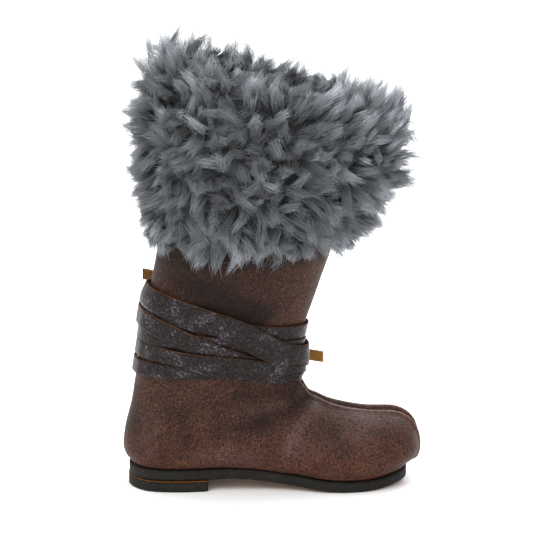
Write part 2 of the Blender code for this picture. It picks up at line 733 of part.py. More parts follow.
def make_fur_cuff(shaft):
    """The fur band over the shaft's top. Each cell of its surface is drawn out into a pointed lock."""
    vertices = []
    faces = []
    columns = []
    surface_count = len(FUR_OUTSIDE) + 1 + len(FUR_INSIDE)
    depth = shaft.collar_front.x - shaft.collar_back.x
    for i in range(LOCKS_AROUND):
        angle = even_angle(2 * math.pi * i / LOCKS_AROUND, COLLAR_WIDTH, depth)
        surface = [point for point, _ in fur_grid(shaft, angle)]
        slot = slot_points(shaft, angle)
        columns.append(list(range(len(vertices), len(vertices) + surface_count + len(slot))))
        vertices += surface + slot
    lines = [line for _, line in fur_grid(shaft, 0.0)]
    for i, column in enumerate(columns):
        following = columns[(i + 1) % LOCKS_AROUND]
        angle = even_angle(2 * math.pi * (i + 0.5) / LOCKS_AROUND, COLLAR_WIDTH, depth)
        for j in range(len(column)):
            k = (j + 1) % len(column)
            cell = (column[j], column[k], following[k], following[j])
            if j >= surface_count - 1:
                faces.append(cell)
                continue
            lean = (lines[j].lean + lines[j + 1].lean) / 2 + LEAN_SPREAD * unevenness(j + 5, i)
            share = (lines[j].length + lines[j + 1].length) / 2
            length = share * LOCK_LENGTH * (1 + LENGTH_SPREAD * unevenness(i, j))
            direction = lock_direction(angle, lean, j >= len(FUR_OUTSIDE))
            around = Vector((-math.sin(angle), math.cos(angle), 0.0))
            middle = sum((Vector(vertices[c]) for c in cell), Vector()) / 4
            waist = middle + direction * length * LOCK_WAIST
            tip = middle + direction * length + around * length * SIDE_SPREAD * unevenness(j, i + 3)
            ring = list(range(len(vertices), len(vertices) + 4))
            vertices += [waist + (Vector(vertices[c]) - middle) * LOCK_WAIST_WIDTH for c in cell]
            vertices.append(tip)
            for a in range(4):
                b = (a + 1) % 4
                faces.append((cell[a], cell[b], ring[b], ring[a]))
                faces.append((ring[a], ring[b], ring[3] + 1))
    return new_object("fur_cuff", vertices, faces)


# One place along the strap: layers are those of its lower edge, middle line and upper edge
StrapSample = namedtuple("StrapSample", "angle z width slope layers")
EDGES = (-1, 0, 1)


def strap_height(zone_share):
    """Height of a share of the strap zone, which starts at the instep."""
    return INSTEP_HEIGHT + zone_share * STRAP_ZONE


def strap_levels():
    """Places in half turns round the ankle, 1 at the first turn's back, and the strap's levels there."""
    places = [STRAP_START_ANGLE / 180]
    levels = [STRAP_START_LEVEL]
    for index, turn in enumerate(STRAP_TURNS):
        places += [2 * index + 1, 2 * index + 1.5, 2 * index + 2]
        levels += [turn.back, turn.inner, turn.front]
    places.append(2 * len(STRAP_TURNS) + STRAP_END_ANGLE / 180)
    levels.append(STRAP_END_LEVEL)
    return places, levels


def strap_path():
    """Middle heights and widths along the strap, from the knot's side through every turn and back."""
    turns = len(STRAP_TURNS)
    widths = [turn.width for turn in STRAP_TURNS]
    places, levels = strap_levels()
    ankle_depth = 2 * Shaft.ankle_reach()
    start = math.radians(STRAP_START_ANGLE)
    end = math.radians(STRAP_END_ANGLE) + 2 * math.pi * turns
    samples = []
    total = turns * STRAP_POINTS_A_TURN
    for i in range(total + 1):
        angle = even_angle(between(start, end, i / total), ANKLE_WIDTH, ankle_depth)
        half_turn = angle / math.pi
        width = STRAP_WIDTH * smooth_value(list(range(turns)), widths, (half_turn - 1.5) / 2)
        samples.append((angle, strap_height(smooth_value(places, levels, half_turn)), width))
    return samples


def layer_over(samples, angle, low, high):
    """The layer that clears every strap sample near an angle whose width crosses a span of heights."""
    reach = LAYER_REACH * 2 * math.pi / STRAP_POINTS_A_TURN
    top = -1.0
    for sample in samples:
        turned = (sample.angle - angle + math.pi) % (2 * math.pi) - math.pi
        half = sample.width / 2
        if abs(turned) > reach or sample.z - half > high or sample.z + half < low:
            continue
        middle = sample.z
        if middle > low and middle - half < high:
            top = max(top, sample.layers[0], sample.layers[1])
        if middle < high and middle + half > low:
            top = max(top, sample.layers[1], sample.layers[2])
    return top + 1


def edge_span(edge, z, width):
    """The heights that a strap's lower edge, middle line or upper edge has to clear."""
    half = width / 2
    spans = {-1: (z - half, z), 0: (z - half, z + half), 1: (z, z + half)}
    low, high = spans[edge]
    return low + LAYER_SLACK, high - LAYER_SLACK


def softened(layers):
    """Layers along the strap with their steps made into slopes that never drop below a step."""
    wide = [max(layers[max(0, i - 1):i + 2]) for i in range(len(layers))]
    return [max(sum(wide[max(0, i - 1):i + 2]) / len(wide[max(0, i - 1):i + 2]), layers[i])
            for i in range(len(wide))]


def wind_strap(shaft):
    """The strap's samples, each edge lifted over the turns that lie under it."""
    path = strap_path()
    samples = []
    for start in range(0, len(path) - 1, STRAP_POINTS_A_TURN):
        piece = path[start:start + STRAP_POINTS_A_TURN + 1]
        rows = [softened([layer_over(samples, angle, *edge_span(edge, z, width)) for angle, z, width in piece])
                for edge in EDGES]
        if samples:
            joint = samples.pop()
            for row, layer in zip(rows, joint.layers):
                row[0] = max(row[0], layer)
        for i, (angle, z, width) in enumerate(piece):
            before = path[max(start + i - 1, 0)]
            after = path[min(start + i + 1, len(path) - 1)]
            run = shaft.radius(angle, z) * (after[0] - before[0])
            slope = math.atan2(after[1] - before[1], run)
            samples.append(StrapSample(angle, z, width, slope, tuple(row[i] for row in rows)))
    return samples


def band(name, sections):
    """A flat strip through sections of four corners each, closed at both ends."""
    vertices = [corner for section in sections for corner in section]
    size = len(sections[0])
    faces = [tuple(range(size)), tuple(range(len(vertices) - size, len(vertices)))[::-1]]
    for i in range(len(sections) - 1):
        for j in range(size):
            k = (j + 1) % size
            faces.append((i * size + j, i * size + k, (i + 1) * size + k, (i + 1) * size + j))
    return new_object(name, vertices, faces)


def strap_offset(layer):
    """Distance from the leather to the inner face of a layer."""
    return STRAP_SEAT + layer * (STRAP_THICKNESS + STRAP_LAYER_GAP)


def make_ankle_strap(shaft, samples):
    """The long strap, from its start beside the knot through six turns."""
    sections = []
    for sample in samples:
        radius = shaft.radius(sample.angle, sample.z)
        corners = []
        for edge, out in ((-1, 0), (0, 0), (1, 0), (1, 1), (0, 1), (-1, 1)):
            angle = sample.angle - edge * sample.width / 2 * math.sin(sample.slope) / radius
            z = sample.z + edge * sample.width / 2 * math.cos(sample.slope)
            offset = strap_offset(sample.layers[EDGES.index(edge)])
            corners.append(shaft.point(angle, z, offset + out * STRAP_THICKNESS))
        sections.append(corners)
    return band("ankle_strap", sections)


def make_tail(name, shaft, samples, points):
    """A free end of the strap, over the turns near the knot and then straight off past the boot."""
    places = list(range(len(points)))
    sections = []
    lifts = []
    for point in points:
        z = strap_height(point.level)
        angle = math.radians(point.angle)
        lifts.append(strap_offset(layer_over(samples, angle, z - TAIL_WIDTH, z + TAIL_WIDTH)))
    lifts = [max(lifts[max(0, i - 1):i + 2]) for i in range(len(lifts))]
    for i in range((len(points) - 1) * TAIL_STEPS + 1):
        at = i / TAIL_STEPS
        angle = math.radians(smooth_value(places, [p.angle for p in points], at))
        z = strap_height(smooth_value(places, [p.level for p in points], at))
        out = smooth_value(places, lifts, at)
        out += smooth_value(places, [p.stand_off for p in points], at) * STRAP_THICKNESS
        centre = shaft.point(angle, z, out)
        direction = Vector((math.cos(angle), math.sin(angle), 0.0))
        sections.append([centre + Vector((0, 0, edge * TAIL_WIDTH / 2)) + direction * depth * STRAP_THICKNESS
                         for edge, depth in ((-1, 0), (1, 0), (1, 1), (-1, 1))])
    return band(name, sections)


def make_strap_knot(shaft, samples):
    """The knot: a rounded lump with a dent round its waist, just outside the strap's turns."""
    angle = math.pi / 2
    z = strap_height(KNOT_LEVEL)
    layer = layer_over(samples, angle, z - KNOT_HEIGHT / 2, z + KNOT_HEIGHT / 2)
    base = strap_offset(layer) + CLEARANCE
    centre = shaft.point(angle, z, base + KNOT_DEPTH / 2)
    shape = bmesh.new()
    bmesh.ops.create_uvsphere(shape, u_segments=KNOT_SEGMENTS, v_segments=KNOT_RINGS, radius=1.0)
    for vertex in shape.verts:
        x, y, up = (math.copysign(abs(value) ** KNOT_BOXINESS, value) for value in vertex.co)
        waist = 1 - KNOT_DENT * math.exp(-(x / KNOT_DENT_SPREAD) ** 2)
        half = Vector((x * KNOT_WIDTH, y * waist * KNOT_DEPTH, up * waist * KNOT_HEIGHT)) / 2
        vertex.co = centre + half
    shape.verts.index_update()
    vertices = [v.co.copy() for v in shape.verts]
    faces = [tuple(v.index for v in face.verts) for face in shape.faces]
    shape.free()
    return new_object("strap_knot", vertices, faces)


def main():
    """Build every piece."""
    for item in list(bpy.data.objects):
        bpy.data.objects.remove(item)
    make_outsole()
    make_heel_lift()
    make_insole()
    vertices, faces = upper_skin()
    make_upper(vertices, faces)
    shaft = Shaft(vertices, faces)
    make_fur_cuff(shaft)
    samples = wind_strap(shaft)
    make_ankle_strap(shaft, samples)
    make_strap_knot(shaft, samples)
    make_tail("strap_tail_front", shaft, samples, FRONT_TAIL)
    make_tail("strap_tail_back", shaft, samples, BACK_TAIL)


main()
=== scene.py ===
"""The looks of a doll's winter boot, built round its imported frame.

Leather, straps, sole and knot are the frame's own forms, refined and creased. The fur is drawn in locks
of tapered strands over a dark undercoat. Everything is in metres: +X to the toe, +Z up, -Y to the inner
side of the foot, which is the side the camera sees.
"""

import math
from collections import namedtuple

import bmesh
import bpy
import numpy as np
from bpy.props import FloatProperty, FloatVectorProperty, IntProperty, PointerProperty
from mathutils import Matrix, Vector, noise
from mathutils.bvhtree import BVHTree


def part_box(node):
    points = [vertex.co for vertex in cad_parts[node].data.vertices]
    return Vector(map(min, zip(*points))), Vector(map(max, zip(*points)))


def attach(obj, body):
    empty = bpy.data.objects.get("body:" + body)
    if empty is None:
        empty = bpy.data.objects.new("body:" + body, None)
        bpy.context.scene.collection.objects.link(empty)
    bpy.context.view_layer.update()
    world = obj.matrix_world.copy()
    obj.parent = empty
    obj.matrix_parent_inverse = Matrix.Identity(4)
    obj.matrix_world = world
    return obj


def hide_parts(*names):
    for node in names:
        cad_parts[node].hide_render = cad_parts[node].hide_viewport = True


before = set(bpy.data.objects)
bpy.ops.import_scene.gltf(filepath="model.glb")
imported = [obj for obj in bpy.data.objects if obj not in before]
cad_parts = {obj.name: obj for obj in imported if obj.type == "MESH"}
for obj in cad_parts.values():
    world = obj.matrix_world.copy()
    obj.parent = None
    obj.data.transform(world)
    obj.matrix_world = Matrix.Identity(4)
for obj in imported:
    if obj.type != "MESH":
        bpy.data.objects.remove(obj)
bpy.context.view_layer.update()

bl_info = {
    "name": "Doll's winter boot",
    "version": (1, 0, 0),
    "blender": (4, 5, 0),
    "location": "3D View > Sidebar > Boot",
    "description": "Builds the leather, fur, straps and sole of a doll's winter boot",
    "category": "Object",
}

# Lengths that the frame's leather has
LEATHER = 0.0010
RIM_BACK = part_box("upper")[1].z
WELD = 0.000002

# Colours as the eye sees them, from 0 to 255
LEATHER_COLOUR = (57, 37, 29)
LEATHER_FLECK_DARK = (18, 12, 15)
LEATHER_FLECK_WARM = (102, 64, 42)
LEATHER_REDDISH = (84, 46, 33)
# Stains, and painted shade in the creases and under the fur
LEATHER_STAIN_AND_SHADE = (14, 9, 8)
# Rubbed places, and painted highlights on the ridges
LEATHER_RUBBED_AND_HIGHLIT = (116, 94, 92)
STRAP_COLOUR = (33, 27, 25)
# A painted highlight: the strap's glints
STRAP_PAINTED_GLINT = (112, 106, 118)
CUT_EDGE_COLOUR = (92, 58, 32)
BACKING_COLOUR = (180, 126, 62)
BOARD_COLOUR = (128, 88, 44)
GLUE_COLOUR = (96, 60, 30)
EDGE_PAINT_COLOUR = (30, 28, 25)
FUR_COLOUR = (114, 118, 123)
# Painted shade: the undercoat's dark grey between the locks
UNDERCOAT_SHADE_COLOUR = (56, 58, 61)
FLOOR_COLOUR = (251, 251, 251)

# How much light a finish's darkest and palest places send back, as a share of its own colour
Contrast = namedtuple("Contrast", "dark light")
LEATHER_CONTRAST = Contrast(0.20, 2.6)
STRAP_CONTRAST = Contrast(0.45, 1.8)
CUT_EDGE_CONTRAST = Contrast(0.25, 2.6)
BACKING_CONTRAST = Contrast(0.22, 1.8)
BOARD_CONTRAST = Contrast(0.35, 1.9)
EDGE_PAINT_CONTRAST = Contrast(0.40, 3.0)
FUR_CONTRAST = Contrast(0.13, 3.2)
UNDERCOAT_CONTRAST = Contrast(0.40, 2.0)

# The camera, as the photograph was taken: its place, what it looks at and how wide it sees
CAMERA_PLACE = (0.0028, -0.6828, 0.2304)
CAMERA_TARGET = (0.0300, 0.0, 0.0640)
CAMERA_VIEW = 12.75
SENSOR_WIDTH = 36.0


def linear(colour):
    """A colour of 0 to 255 as the eye sees it, as Blender's linear red, green and blue."""
    shares = [channel / 255 for channel in colour]
    return tuple(s / 12.92 if s <= 0.04045 else ((s + 0.055) / 1.055) ** 2.4 for s in shares)


def between(low, high, share):
    """The value at a share of the way from low to high."""
    return low + (high - low) * share


# Node trees


def find(sockets, key):
    """A node's socket by its number, or the first one in use with a name."""
    if isinstance(key, int):
        return sockets[key]
    return next(socket for socket in sockets if socket.enabled and socket.name == key)


class Wire:
    """A socket of a node tree. Python's operators on wires add Math nodes to the tree."""

    def __init__(self, tree, socket):
        self.tree = tree
        self.socket = socket

    def other(self, key):
        """Another output of the same node."""
        return Wire(self.tree, find(self.socket.node.outputs, key))

    def maths(self, operation, *values):
        node = self.tree.nodes.new("ShaderNodeMath")
        node.operation = operation
        for socket, value in zip(node.inputs, values):
            feed(self.tree, socket, value)
        return Wire(self.tree, node.outputs[0])

    def __add__(self, other):
        return self.maths("ADD", self, other)

    def __radd__(self, other):
        return self.maths("ADD", other, self)

    def __rtruediv__(self, other):
        return self.maths("DIVIDE", other, self)

    def __sub__(self, other):
        return self.maths("SUBTRACT", self, other)

    def __rsub__(self, other):
        return self.maths("SUBTRACT", other, self)

    def __mul__(self, other):
        return self.maths("MULTIPLY", self, other)

    def __rmul__(self, other):
        return self.maths("MULTIPLY", other, self)

    def __pow__(self, other):
        return self.maths("POWER", self, other)

    def sine(self):
        return self.maths("SINE", self)

    def ramp(self, low, high):
        """0 below low, 1 above high and a smooth slope between them."""
        node = self.tree.nodes.new("ShaderNodeMapRange")
        node.interpolation_type = "SMOOTHSTEP"
        feed(self.tree, find(node.inputs, "Value"), self)
        feed(self.tree, find(node.inputs, "From Min"), low)
        feed(self.tree, find(node.inputs, "From Max"), high)
        return Wire(self.tree, node.outputs[0])


def feed(tree, socket, value):
    """Link a wire to a socket, or set the socket's own value."""
    if isinstance(value, Wire):
        tree.links.new(value.socket, socket)
    else:
        socket.default_value = value


class Loom:
    """Builds one node tree."""

    def __init__(self, tree):
        self.tree = tree

    def add(self, kind, settings=None, inputs=None, out=0):
        """Add a node, set it, then wire or fill its inputs, and hand back one output."""
        node = self.tree.nodes.new(kind)
        for name, value in (settings or {}).items():
            setattr(node, name, value)
        for name, value in (inputs or {}).items():
            feed(self.tree, find(node.inputs, name), value)
        return Wire(self.tree, find(node.outputs, out)) if node.outputs else None

    def blend(self, share, first, second, mode="MIX"):
        """Mix two colours."""
        settings = {"data_type": "RGBA", "blend_type": mode}
        return self.add("ShaderNodeMix", settings, {"Factor": share, "A": first, "B": second}, "Result")

    def vector(self, operation, *values):
        """Vector maths."""
        node = self.add("ShaderNodeVectorMath", {"operation": operation}, dict(enumerate(values)))
        return node

    def grain(self, place, size, detail=2.0, roughness=0.5, out="Fac"):
        """Noise whose lumps have a size in metres."""
        inputs = {"Vector": place, "Scale": 1 / size, "Detail": detail, "Roughness": roughness}
        return self.add("ShaderNodeTexNoise", None, inputs, out)

    def cells(self, place, size, feature="F1", out="Distance"):
        """Cells whose width is a size in metres."""
        return self.add("ShaderNodeTexVoronoi", {"feature": feature}, {"Vector": place, "Scale": 1 / size}, out)

    def attribute(self, name, out="Fac"):
        return self.add("ShaderNodeAttribute", {"attribute_name": name}, None, out)

    def shades(self, share, colour, contrast):
        """The colour's darkest shade at 0, the colour itself at a half and its palest shade at 1."""
        ratios = (contrast.dark, 1, contrast.light)
        dark, middle, light = ((*(min(channel * ratio, 1) for channel in colour), 1) for ratio in ratios)
        low = self.blend(share.ramp(0.0, 0.5), dark, middle)
        return self.blend(share.ramp(0.5, 1.0), low, light)


def finish(name, weave, colour):
    """A material. The function weaves its nodes round a colour and says what feeds the shader's sockets."""
    material = bpy.data.materials.new(name)
    material.use_nodes = True
    tree = material.node_tree
    tree.nodes.clear()
    loom = Loom(tree)
    place = loom.add("ShaderNodeTexCoord", None, None, "Object")
    sockets, height, depth = weave(loom, place, colour)
    if height is not None:
        sockets["Normal"] = loom.add("ShaderNodeBump", None, {"Height": height, "Distance": depth,
                                                              "Strength": 1.0}, "Normal")
    shader = loom.add("ShaderNodeBsdfPrincipled", None, sockets, "BSDF")
    loom.add("ShaderNodeOutputMaterial", None, {"Surface": shader})
    return material


def weave_leather(loom, place, hide):
    """Brown distressed leather: mottled, speckled all over, redder at its foot, dark where stained and with
    painted shade in its creases and under the fur, and pale where rubbed and with painted highlights on its
    ridges.
    """
    broad = loom.grain(place, 0.018, 2)
    mottle = loom.grain(place, 0.0050, 4, 0.6)
    fleck = loom.grain(place, 0.00066, 2, 0.75)
    spark = loom.grain(loom.vector("ADD", place, (0.01, 0.02, 0.03)), 0.00060, 1, 0.6)
    stain_and_shade = loom.attribute("stain_and_shade")
    worn_and_highlit = loom.attribute("worn_and_highlit")
    foot = 1 - loom.add("ShaderNodeSeparateXYZ", None, {"Vector": place}, "Z").ramp(0.0055, 0.0200)
    # The stain_and_shade mask darkens the tone: real stains, and painted shade in the creases and under the fur
    tone = 0.5 + (broad - 0.5) * 0.7 + (mottle - 0.5) * 1.0 + (fleck - 0.5) * 0.7 - stain_and_shade * 0.25
    colour = loom.shades(tone, hide, LEATHER_CONTRAST)
    colour = loom.blend(foot * 0.34, colour, (*linear(LEATHER_REDDISH), 1))
    # Pale where rubbed, and painted highlights on the crease and seam ridges
    colour = loom.blend(worn_and_highlit.ramp(0.0, 1.0) * 0.55, colour, (*linear(LEATHER_RUBBED_AND_HIGHLIT), 1))
    colour = loom.blend(spark.ramp(0.52, 0.66) * 0.58, colour, (*linear(LEATHER_FLECK_WARM), 1))
    colour = loom.blend(fleck.ramp(0.49, 0.38) * 0.72, colour, (*linear(LEATHER_FLECK_DARK), 1))
    colour = loom.blend(stain_and_shade.ramp(0.0, 1.0) * 0.75, colour, (*linear(LEATHER_STAIN_AND_SHADE), 1))
    pebble = loom.cells(place, 0.0010)
    height = pebble * 0.40 + fleck * 0.60 + mottle * 0.6
    rough = 0.52 + (mottle - 0.5) * 0.30 + stain_and_shade * 0.10 - worn_and_highlit * 0.12
    sockets = {"Base Color": colour, "Roughness": rough, "Specular IOR Level": 0.12}
    return sockets, height, 0.00020


def weave_lining(loom, place, cloth_colour):
    """The woven backing that the leather is bonded to, seen inside the shaft."""
    cloth = loom.attribute("cloth", "Vector")
    parts = loom.add("ShaderNodeSeparateXYZ", None, {"Vector": cloth}, "X")
    return weave_threads(loom, parts, parts.other("Y"), place, 0.00062, cloth_colour)


def weave_backing(loom, place, cloth_colour):
    """The same backing on the strap's tails."""
    parts = loom.add("ShaderNodeSeparateXYZ", None, {"Vector": place}, "X")
    return weave_threads(loom, parts, parts.other("Z"), place, 0.00080, cloth_colour)


def weave_threads(loom, across, along, place, pitch, cloth_colour):
    """Threads that cross over and under each other."""
    turn = 2 * math.pi / pitch
    warp = (across * turn).sine()
    weft = (along * turn).sine()
    crossing = warp * weft
    fuzz = loom.grain(place, 0.0004, 3, 0.65)
    patch = loom.grain(place, 0.0045, 2)
    tone = 0.42 + crossing * 0.34 + (fuzz - 0.5) * 1.1 + (patch - 0.5) * 0.7
    sockets = {"Base Color": loom.shades(tone, cloth_colour, BACKING_CONTRAST), "Roughness": 0.9,
               "Specular IOR Level": 0.2, "Sheen Weight": 0.15}
    return sockets, crossing * 0.5 + fuzz * 0.5, 0.00010


def weave_strap(loom, place, hide):
    """Glossy near-black leather, crackled all over, with painted highlights: pale slanting glints in its colour
    along the cracks, strongest in shiny patches.
    """
    waver = loom.grain(place, 0.003, 2, 0.5, "Color")
    bent = loom.vector("ADD", place, loom.vector("MULTIPLY", waver, (0.0012, 0.0012, 0.0012)))
    slanted = loom.add("ShaderNodeMapping", {"vector_type": "TEXTURE"},
                       {"Vector": bent, "Rotation": (0.0, 0.85, 0.0), "Scale": (2.2, 1.3, 0.8)}, "Vector")
    crackle = loom.cells(slanted, 0.00100, "DISTANCE_TO_EDGE")
    fine = loom.grain(place, 0.0006, 3, 0.6)
    patch = loom.grain(place, 0.0058, 2)
    tone = 0.42 + crackle.ramp(0.0, 0.20) * 0.10 + (patch - 0.5) * 0.5 + (fine - 0.5) * 0.7
    colour = loom.shades(tone, hide, STRAP_CONTRAST)
    shiny = patch.ramp(0.52, 0.64)
    glint = crackle.ramp(0.17, 0.05) * fine.ramp(0.46, 0.60) * (0.26 + shiny * 0.74)
    # Painted highlights: pale glints along the cracks in the colour, where the coat is glossy too
    colour = loom.blend(glint * 0.50, colour, (*linear(STRAP_PAINTED_GLINT), 1))
    sockets = {"Base Color": colour, "Roughness": 0.34 + (patch - 0.5) * 0.20, "Specular IOR Level": 0.08,
               "Coat Weight": glint * 0.7 + shiny * 0.12, "Coat Roughness": 0.14,
               "Coat Tint": (0.88, 0.86, 1.0, 1.0)}
    return sockets, crackle * 0.8 + fine * 0.2, 0.00014


def weave_cut_edge(loom, place, hide):
    """The strap's raw edge, where its fibres show."""
    fibre = loom.grain(place, 0.00045, 3, 0.7)
    patch = loom.grain(place, 0.0035, 2)
    tone = 0.42 + (fibre - 0.5) * 1.0 + (patch - 0.5) * 0.9
    sockets = {"Base Color": loom.shades(tone, hide, CUT_EDGE_CONTRAST), "Roughness": 0.9,
               "Specular IOR Level": 0.2}
    return sockets, fibre, 0.00012


def weave_board(loom, place, pulp):
    """Tan fibreboard with short fibres and dark chips."""
    fibre = loom.grain(loom.vector("MULTIPLY", place, (1.0, 2.2, 1.0)), 0.0011, 4, 0.65)
    chip = loom.cells(place, 0.0016)
    patch = loom.grain(place, 0.0070, 3)
    bark = loom.grain(place, 0.0010, 2, 0.6).ramp(0.52, 0.68)
    tone = 0.5 + (fibre - 0.5) * 0.9 + (chip - 0.4) * 0.35 + (patch - 0.5) * 0.5 - bark * 0.34
    sockets = {"Base Color": loom.shades(tone, pulp, BOARD_CONTRAST), "Roughness": 0.88,
               "Specular IOR Level": 0.15}
    return sockets, fibre + chip * 0.4, 0.00012


def weave_edge_paint(loom, place, paint):
    """Matt charcoal paint on the sole's edge, rubbed thin in places."""
    fibre = loom.grain(loom.vector("MULTIPLY", place, (0.4, 0.4, 2.0)), 0.0010, 3, 0.6)
    patch = loom.grain(place, 0.0048, 3)
    speck = loom.grain(place, 0.0007, 2, 0.7).ramp(0.60, 0.70)
    tone = 0.42 + (fibre - 0.5) * 0.8 + (patch - 0.5) * 0.7 + speck * 0.4
    sockets = {"Base Color": loom.shades(tone, paint, EDGE_PAINT_CONTRAST), "Roughness": 0.72,
               "Specular IOR Level": 0.18}
    return sockets, fibre, 0.00016


def weave_fur(loom, place, wool):
    """Strands dark at the root, a painted shade deep between the locks, and paler at the tip, each lock with a
    tone of its own.
    """
    along = loom.attribute("along")
    tone = loom.attribute("tone")
    patch = loom.grain(place, 0.0120, 2)
    parts = loom.add("ShaderNodeSeparateXYZ", None, {"Vector": place}, "X")
    rise = parts.other("Z")
    # Paler towards the front and the top, a painted light as if lit from there; paler at the hem too
    pale = parts.ramp(0.030, 0.066) * 0.11 + (1 - rise.ramp(0.070, 0.084)) * 0.12 + rise.ramp(0.092, 0.112) * 0.08
    # Darker towards the root: painted shade between the locks
    share = 0.12 + along * 0.50 + (tone - 0.5) * 0.60 + (patch - 0.5) * 0.55 + pale
    sockets = {"Base Color": loom.shades(share, wool, FUR_CONTRAST), "Roughness": 0.80,
               "Specular IOR Level": 0.15, "Sheen Weight": 0.20, "Sheen Roughness": 0.5}
    return sockets, None, 0.0


def weave_undercoat(loom, place, wool_colour):
    """The dense wool under the locks, dark grey as a painted shade between them."""
    wool = loom.grain(place, 0.0009, 4, 0.7)
    clump = loom.grain(place, 0.0038, 2)
    tone = 0.4 + (wool - 0.5) * 1.1 + (clump - 0.5) * 0.6
    sockets = {"Base Color": loom.shades(tone, wool_colour, UNDERCOAT_CONTRAST), "Roughness": 0.95,
               "Specular IOR Level": 0.1}
    return sockets, wool + clump, 0.0007


def weave_floor(loom, place, paper):
    """A pale matt table."""
    sockets = {"Base Color": (*paper, 1), "Roughness": 0.9, "Specular IOR Level": 0.1}
    return sockets, None, 0.0


# Meshes


def new_piece(name, vertices, faces):
    """A mesh object at the origin."""
    mesh = bpy.data.meshes.new(name)
    mesh.from_pydata([tuple(v) for v in vertices], [], faces)
    piece = bpy.data.objects.new(name, mesh)
    bpy.context.scene.collection.objects.link(piece)
    return piece


def settle(piece):
    """Turn a piece's live modifiers into its plain mesh."""
    graph = bpy.context.evaluated_depsgraph_get()
    graph.update()
    mesh = bpy.data.meshes.new_from_object(piece.evaluated_get(graph))
    piece.modifiers.clear()
    old = piece.data
    piece.data = mesh
    bpy.data.meshes.remove(old)
    mesh.name = piece.name


def broad_sides(shape, sharp_from):
    """Groups of faces that meet at softer edges than an angle, the largest group first."""
    seen = set()
    groups = []
    for first in shape.faces:
        if first in seen:
            continue
        seen.add(first)
        group = [first]
        for face in group:
            for edge in face.edges:
                if len(edge.link_faces) == 2 and edge.calc_face_angle() < math.radians(sharp_from):
                    fresh = [other for other in edge.link_faces if other not in seen]
                    seen.update(fresh)
                    group += fresh
        groups.append(group)
    return sorted(groups, key=lambda group: -sum(face.calc_area() for face in group))


def refined_copy(node, name, levels, sharp_from, hardness, paint=None):
    """A CAD node's form with its triangles merged, paired into four-sided faces, painted and subdivided."""
    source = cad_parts[node].data
    piece = new_piece(name, [v.co for v in source.vertices], [tuple(p.vertices) for p in source.polygons])
    shape = bmesh.new()
    shape.from_mesh(piece.data)
    bmesh.ops.remove_doubles(shape, verts=shape.verts, dist=WELD)
    bmesh.ops.join_triangles(shape, faces=shape.faces, angle_face_threshold=math.radians(50),
                             angle_shape_threshold=math.radians(80))
    crease = shape.edges.layers.float.new("crease_edge")
    for edge in shape.edges:
        if len(edge.link_faces) == 2 and edge.calc_face_angle() > math.radians(sharp_from):
            edge[crease] = hardness
    if paint:
        paint(broad_sides(shape, sharp_from))
    shape.to_mesh(piece.data)
    shape.free()
    subdivide = piece.modifiers.new("fine", "SUBSURF")
    subdivide.levels = levels
    subdivide.render_levels = levels
    settle(piece)
    return piece


def places_and_normals(mesh):
    """Every vertex's place and normal as arrays."""
    count = len(mesh.vertices)
    places = np.empty(count * 3, np.float32)
    normals = np.empty(count * 3, np.float32)
    mesh.vertices.foreach_get("co", places)
    mesh.vertex_normals.foreach_get("vector", normals)
    return places.reshape(-1, 3).astype(float), normals.reshape(-1, 3).astype(float)


def put_places(mesh, places):
    mesh.vertices.foreach_set("co", places.astype(np.float32).ravel())
    mesh.update()


def put_attribute(mesh, name, values, kind="FLOAT", domain="POINT", field="value"):
    attribute = mesh.attributes.new(name, kind, domain)
    attribute.data.foreach_set(field, np.asarray(values).ravel())


def near_line(points, line):
    """Each point's distance to a bent line."""
    best = np.full(len(points), np.inf)
    for start, end in zip(line, line[1:]):
        start = np.array(start)
        run = np.array(end) - start
        share = np.clip(((points - start) @ run) / (run @ run), 0, 1)
        best = np.minimum(best, np.linalg.norm(points - start - share[:, None] * run, axis=1))
    return best


def bell(distance, width):
    """1 at no distance, falling off smoothly over a width."""
    return np.exp(-(distance / width) ** 2)


def slope(values, low, high):
    """0 at low, 1 at high and smooth between them."""
    share = np.clip((values - low) / (high - low), 0, 1)
    return share * share * (3 - 2 * share)


def finish_piece(piece, slot, *nodes):
    """Smooth the piece, let it ride on the boot and hide the frame's nodes that it replaces."""
    piece.data.shade_smooth()
    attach(piece, "root")
    if nodes:
        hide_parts(*nodes)


# The middle of the ankle, inside the strap
ANKLE = Vector((0.0150, 0.0, 0.0400))

# The leather's own line from the toe through the heel up the shaft, for telling out from in
SPINE = ((0.062, 0.0, 0.012), (0.034, 0.0005, 0.014), (0.012, 0.0, 0.018), (0.0130, 0.0, 0.034),
         (0.0180, 0.0, 0.070), (0.0310, 0.0, 0.116))

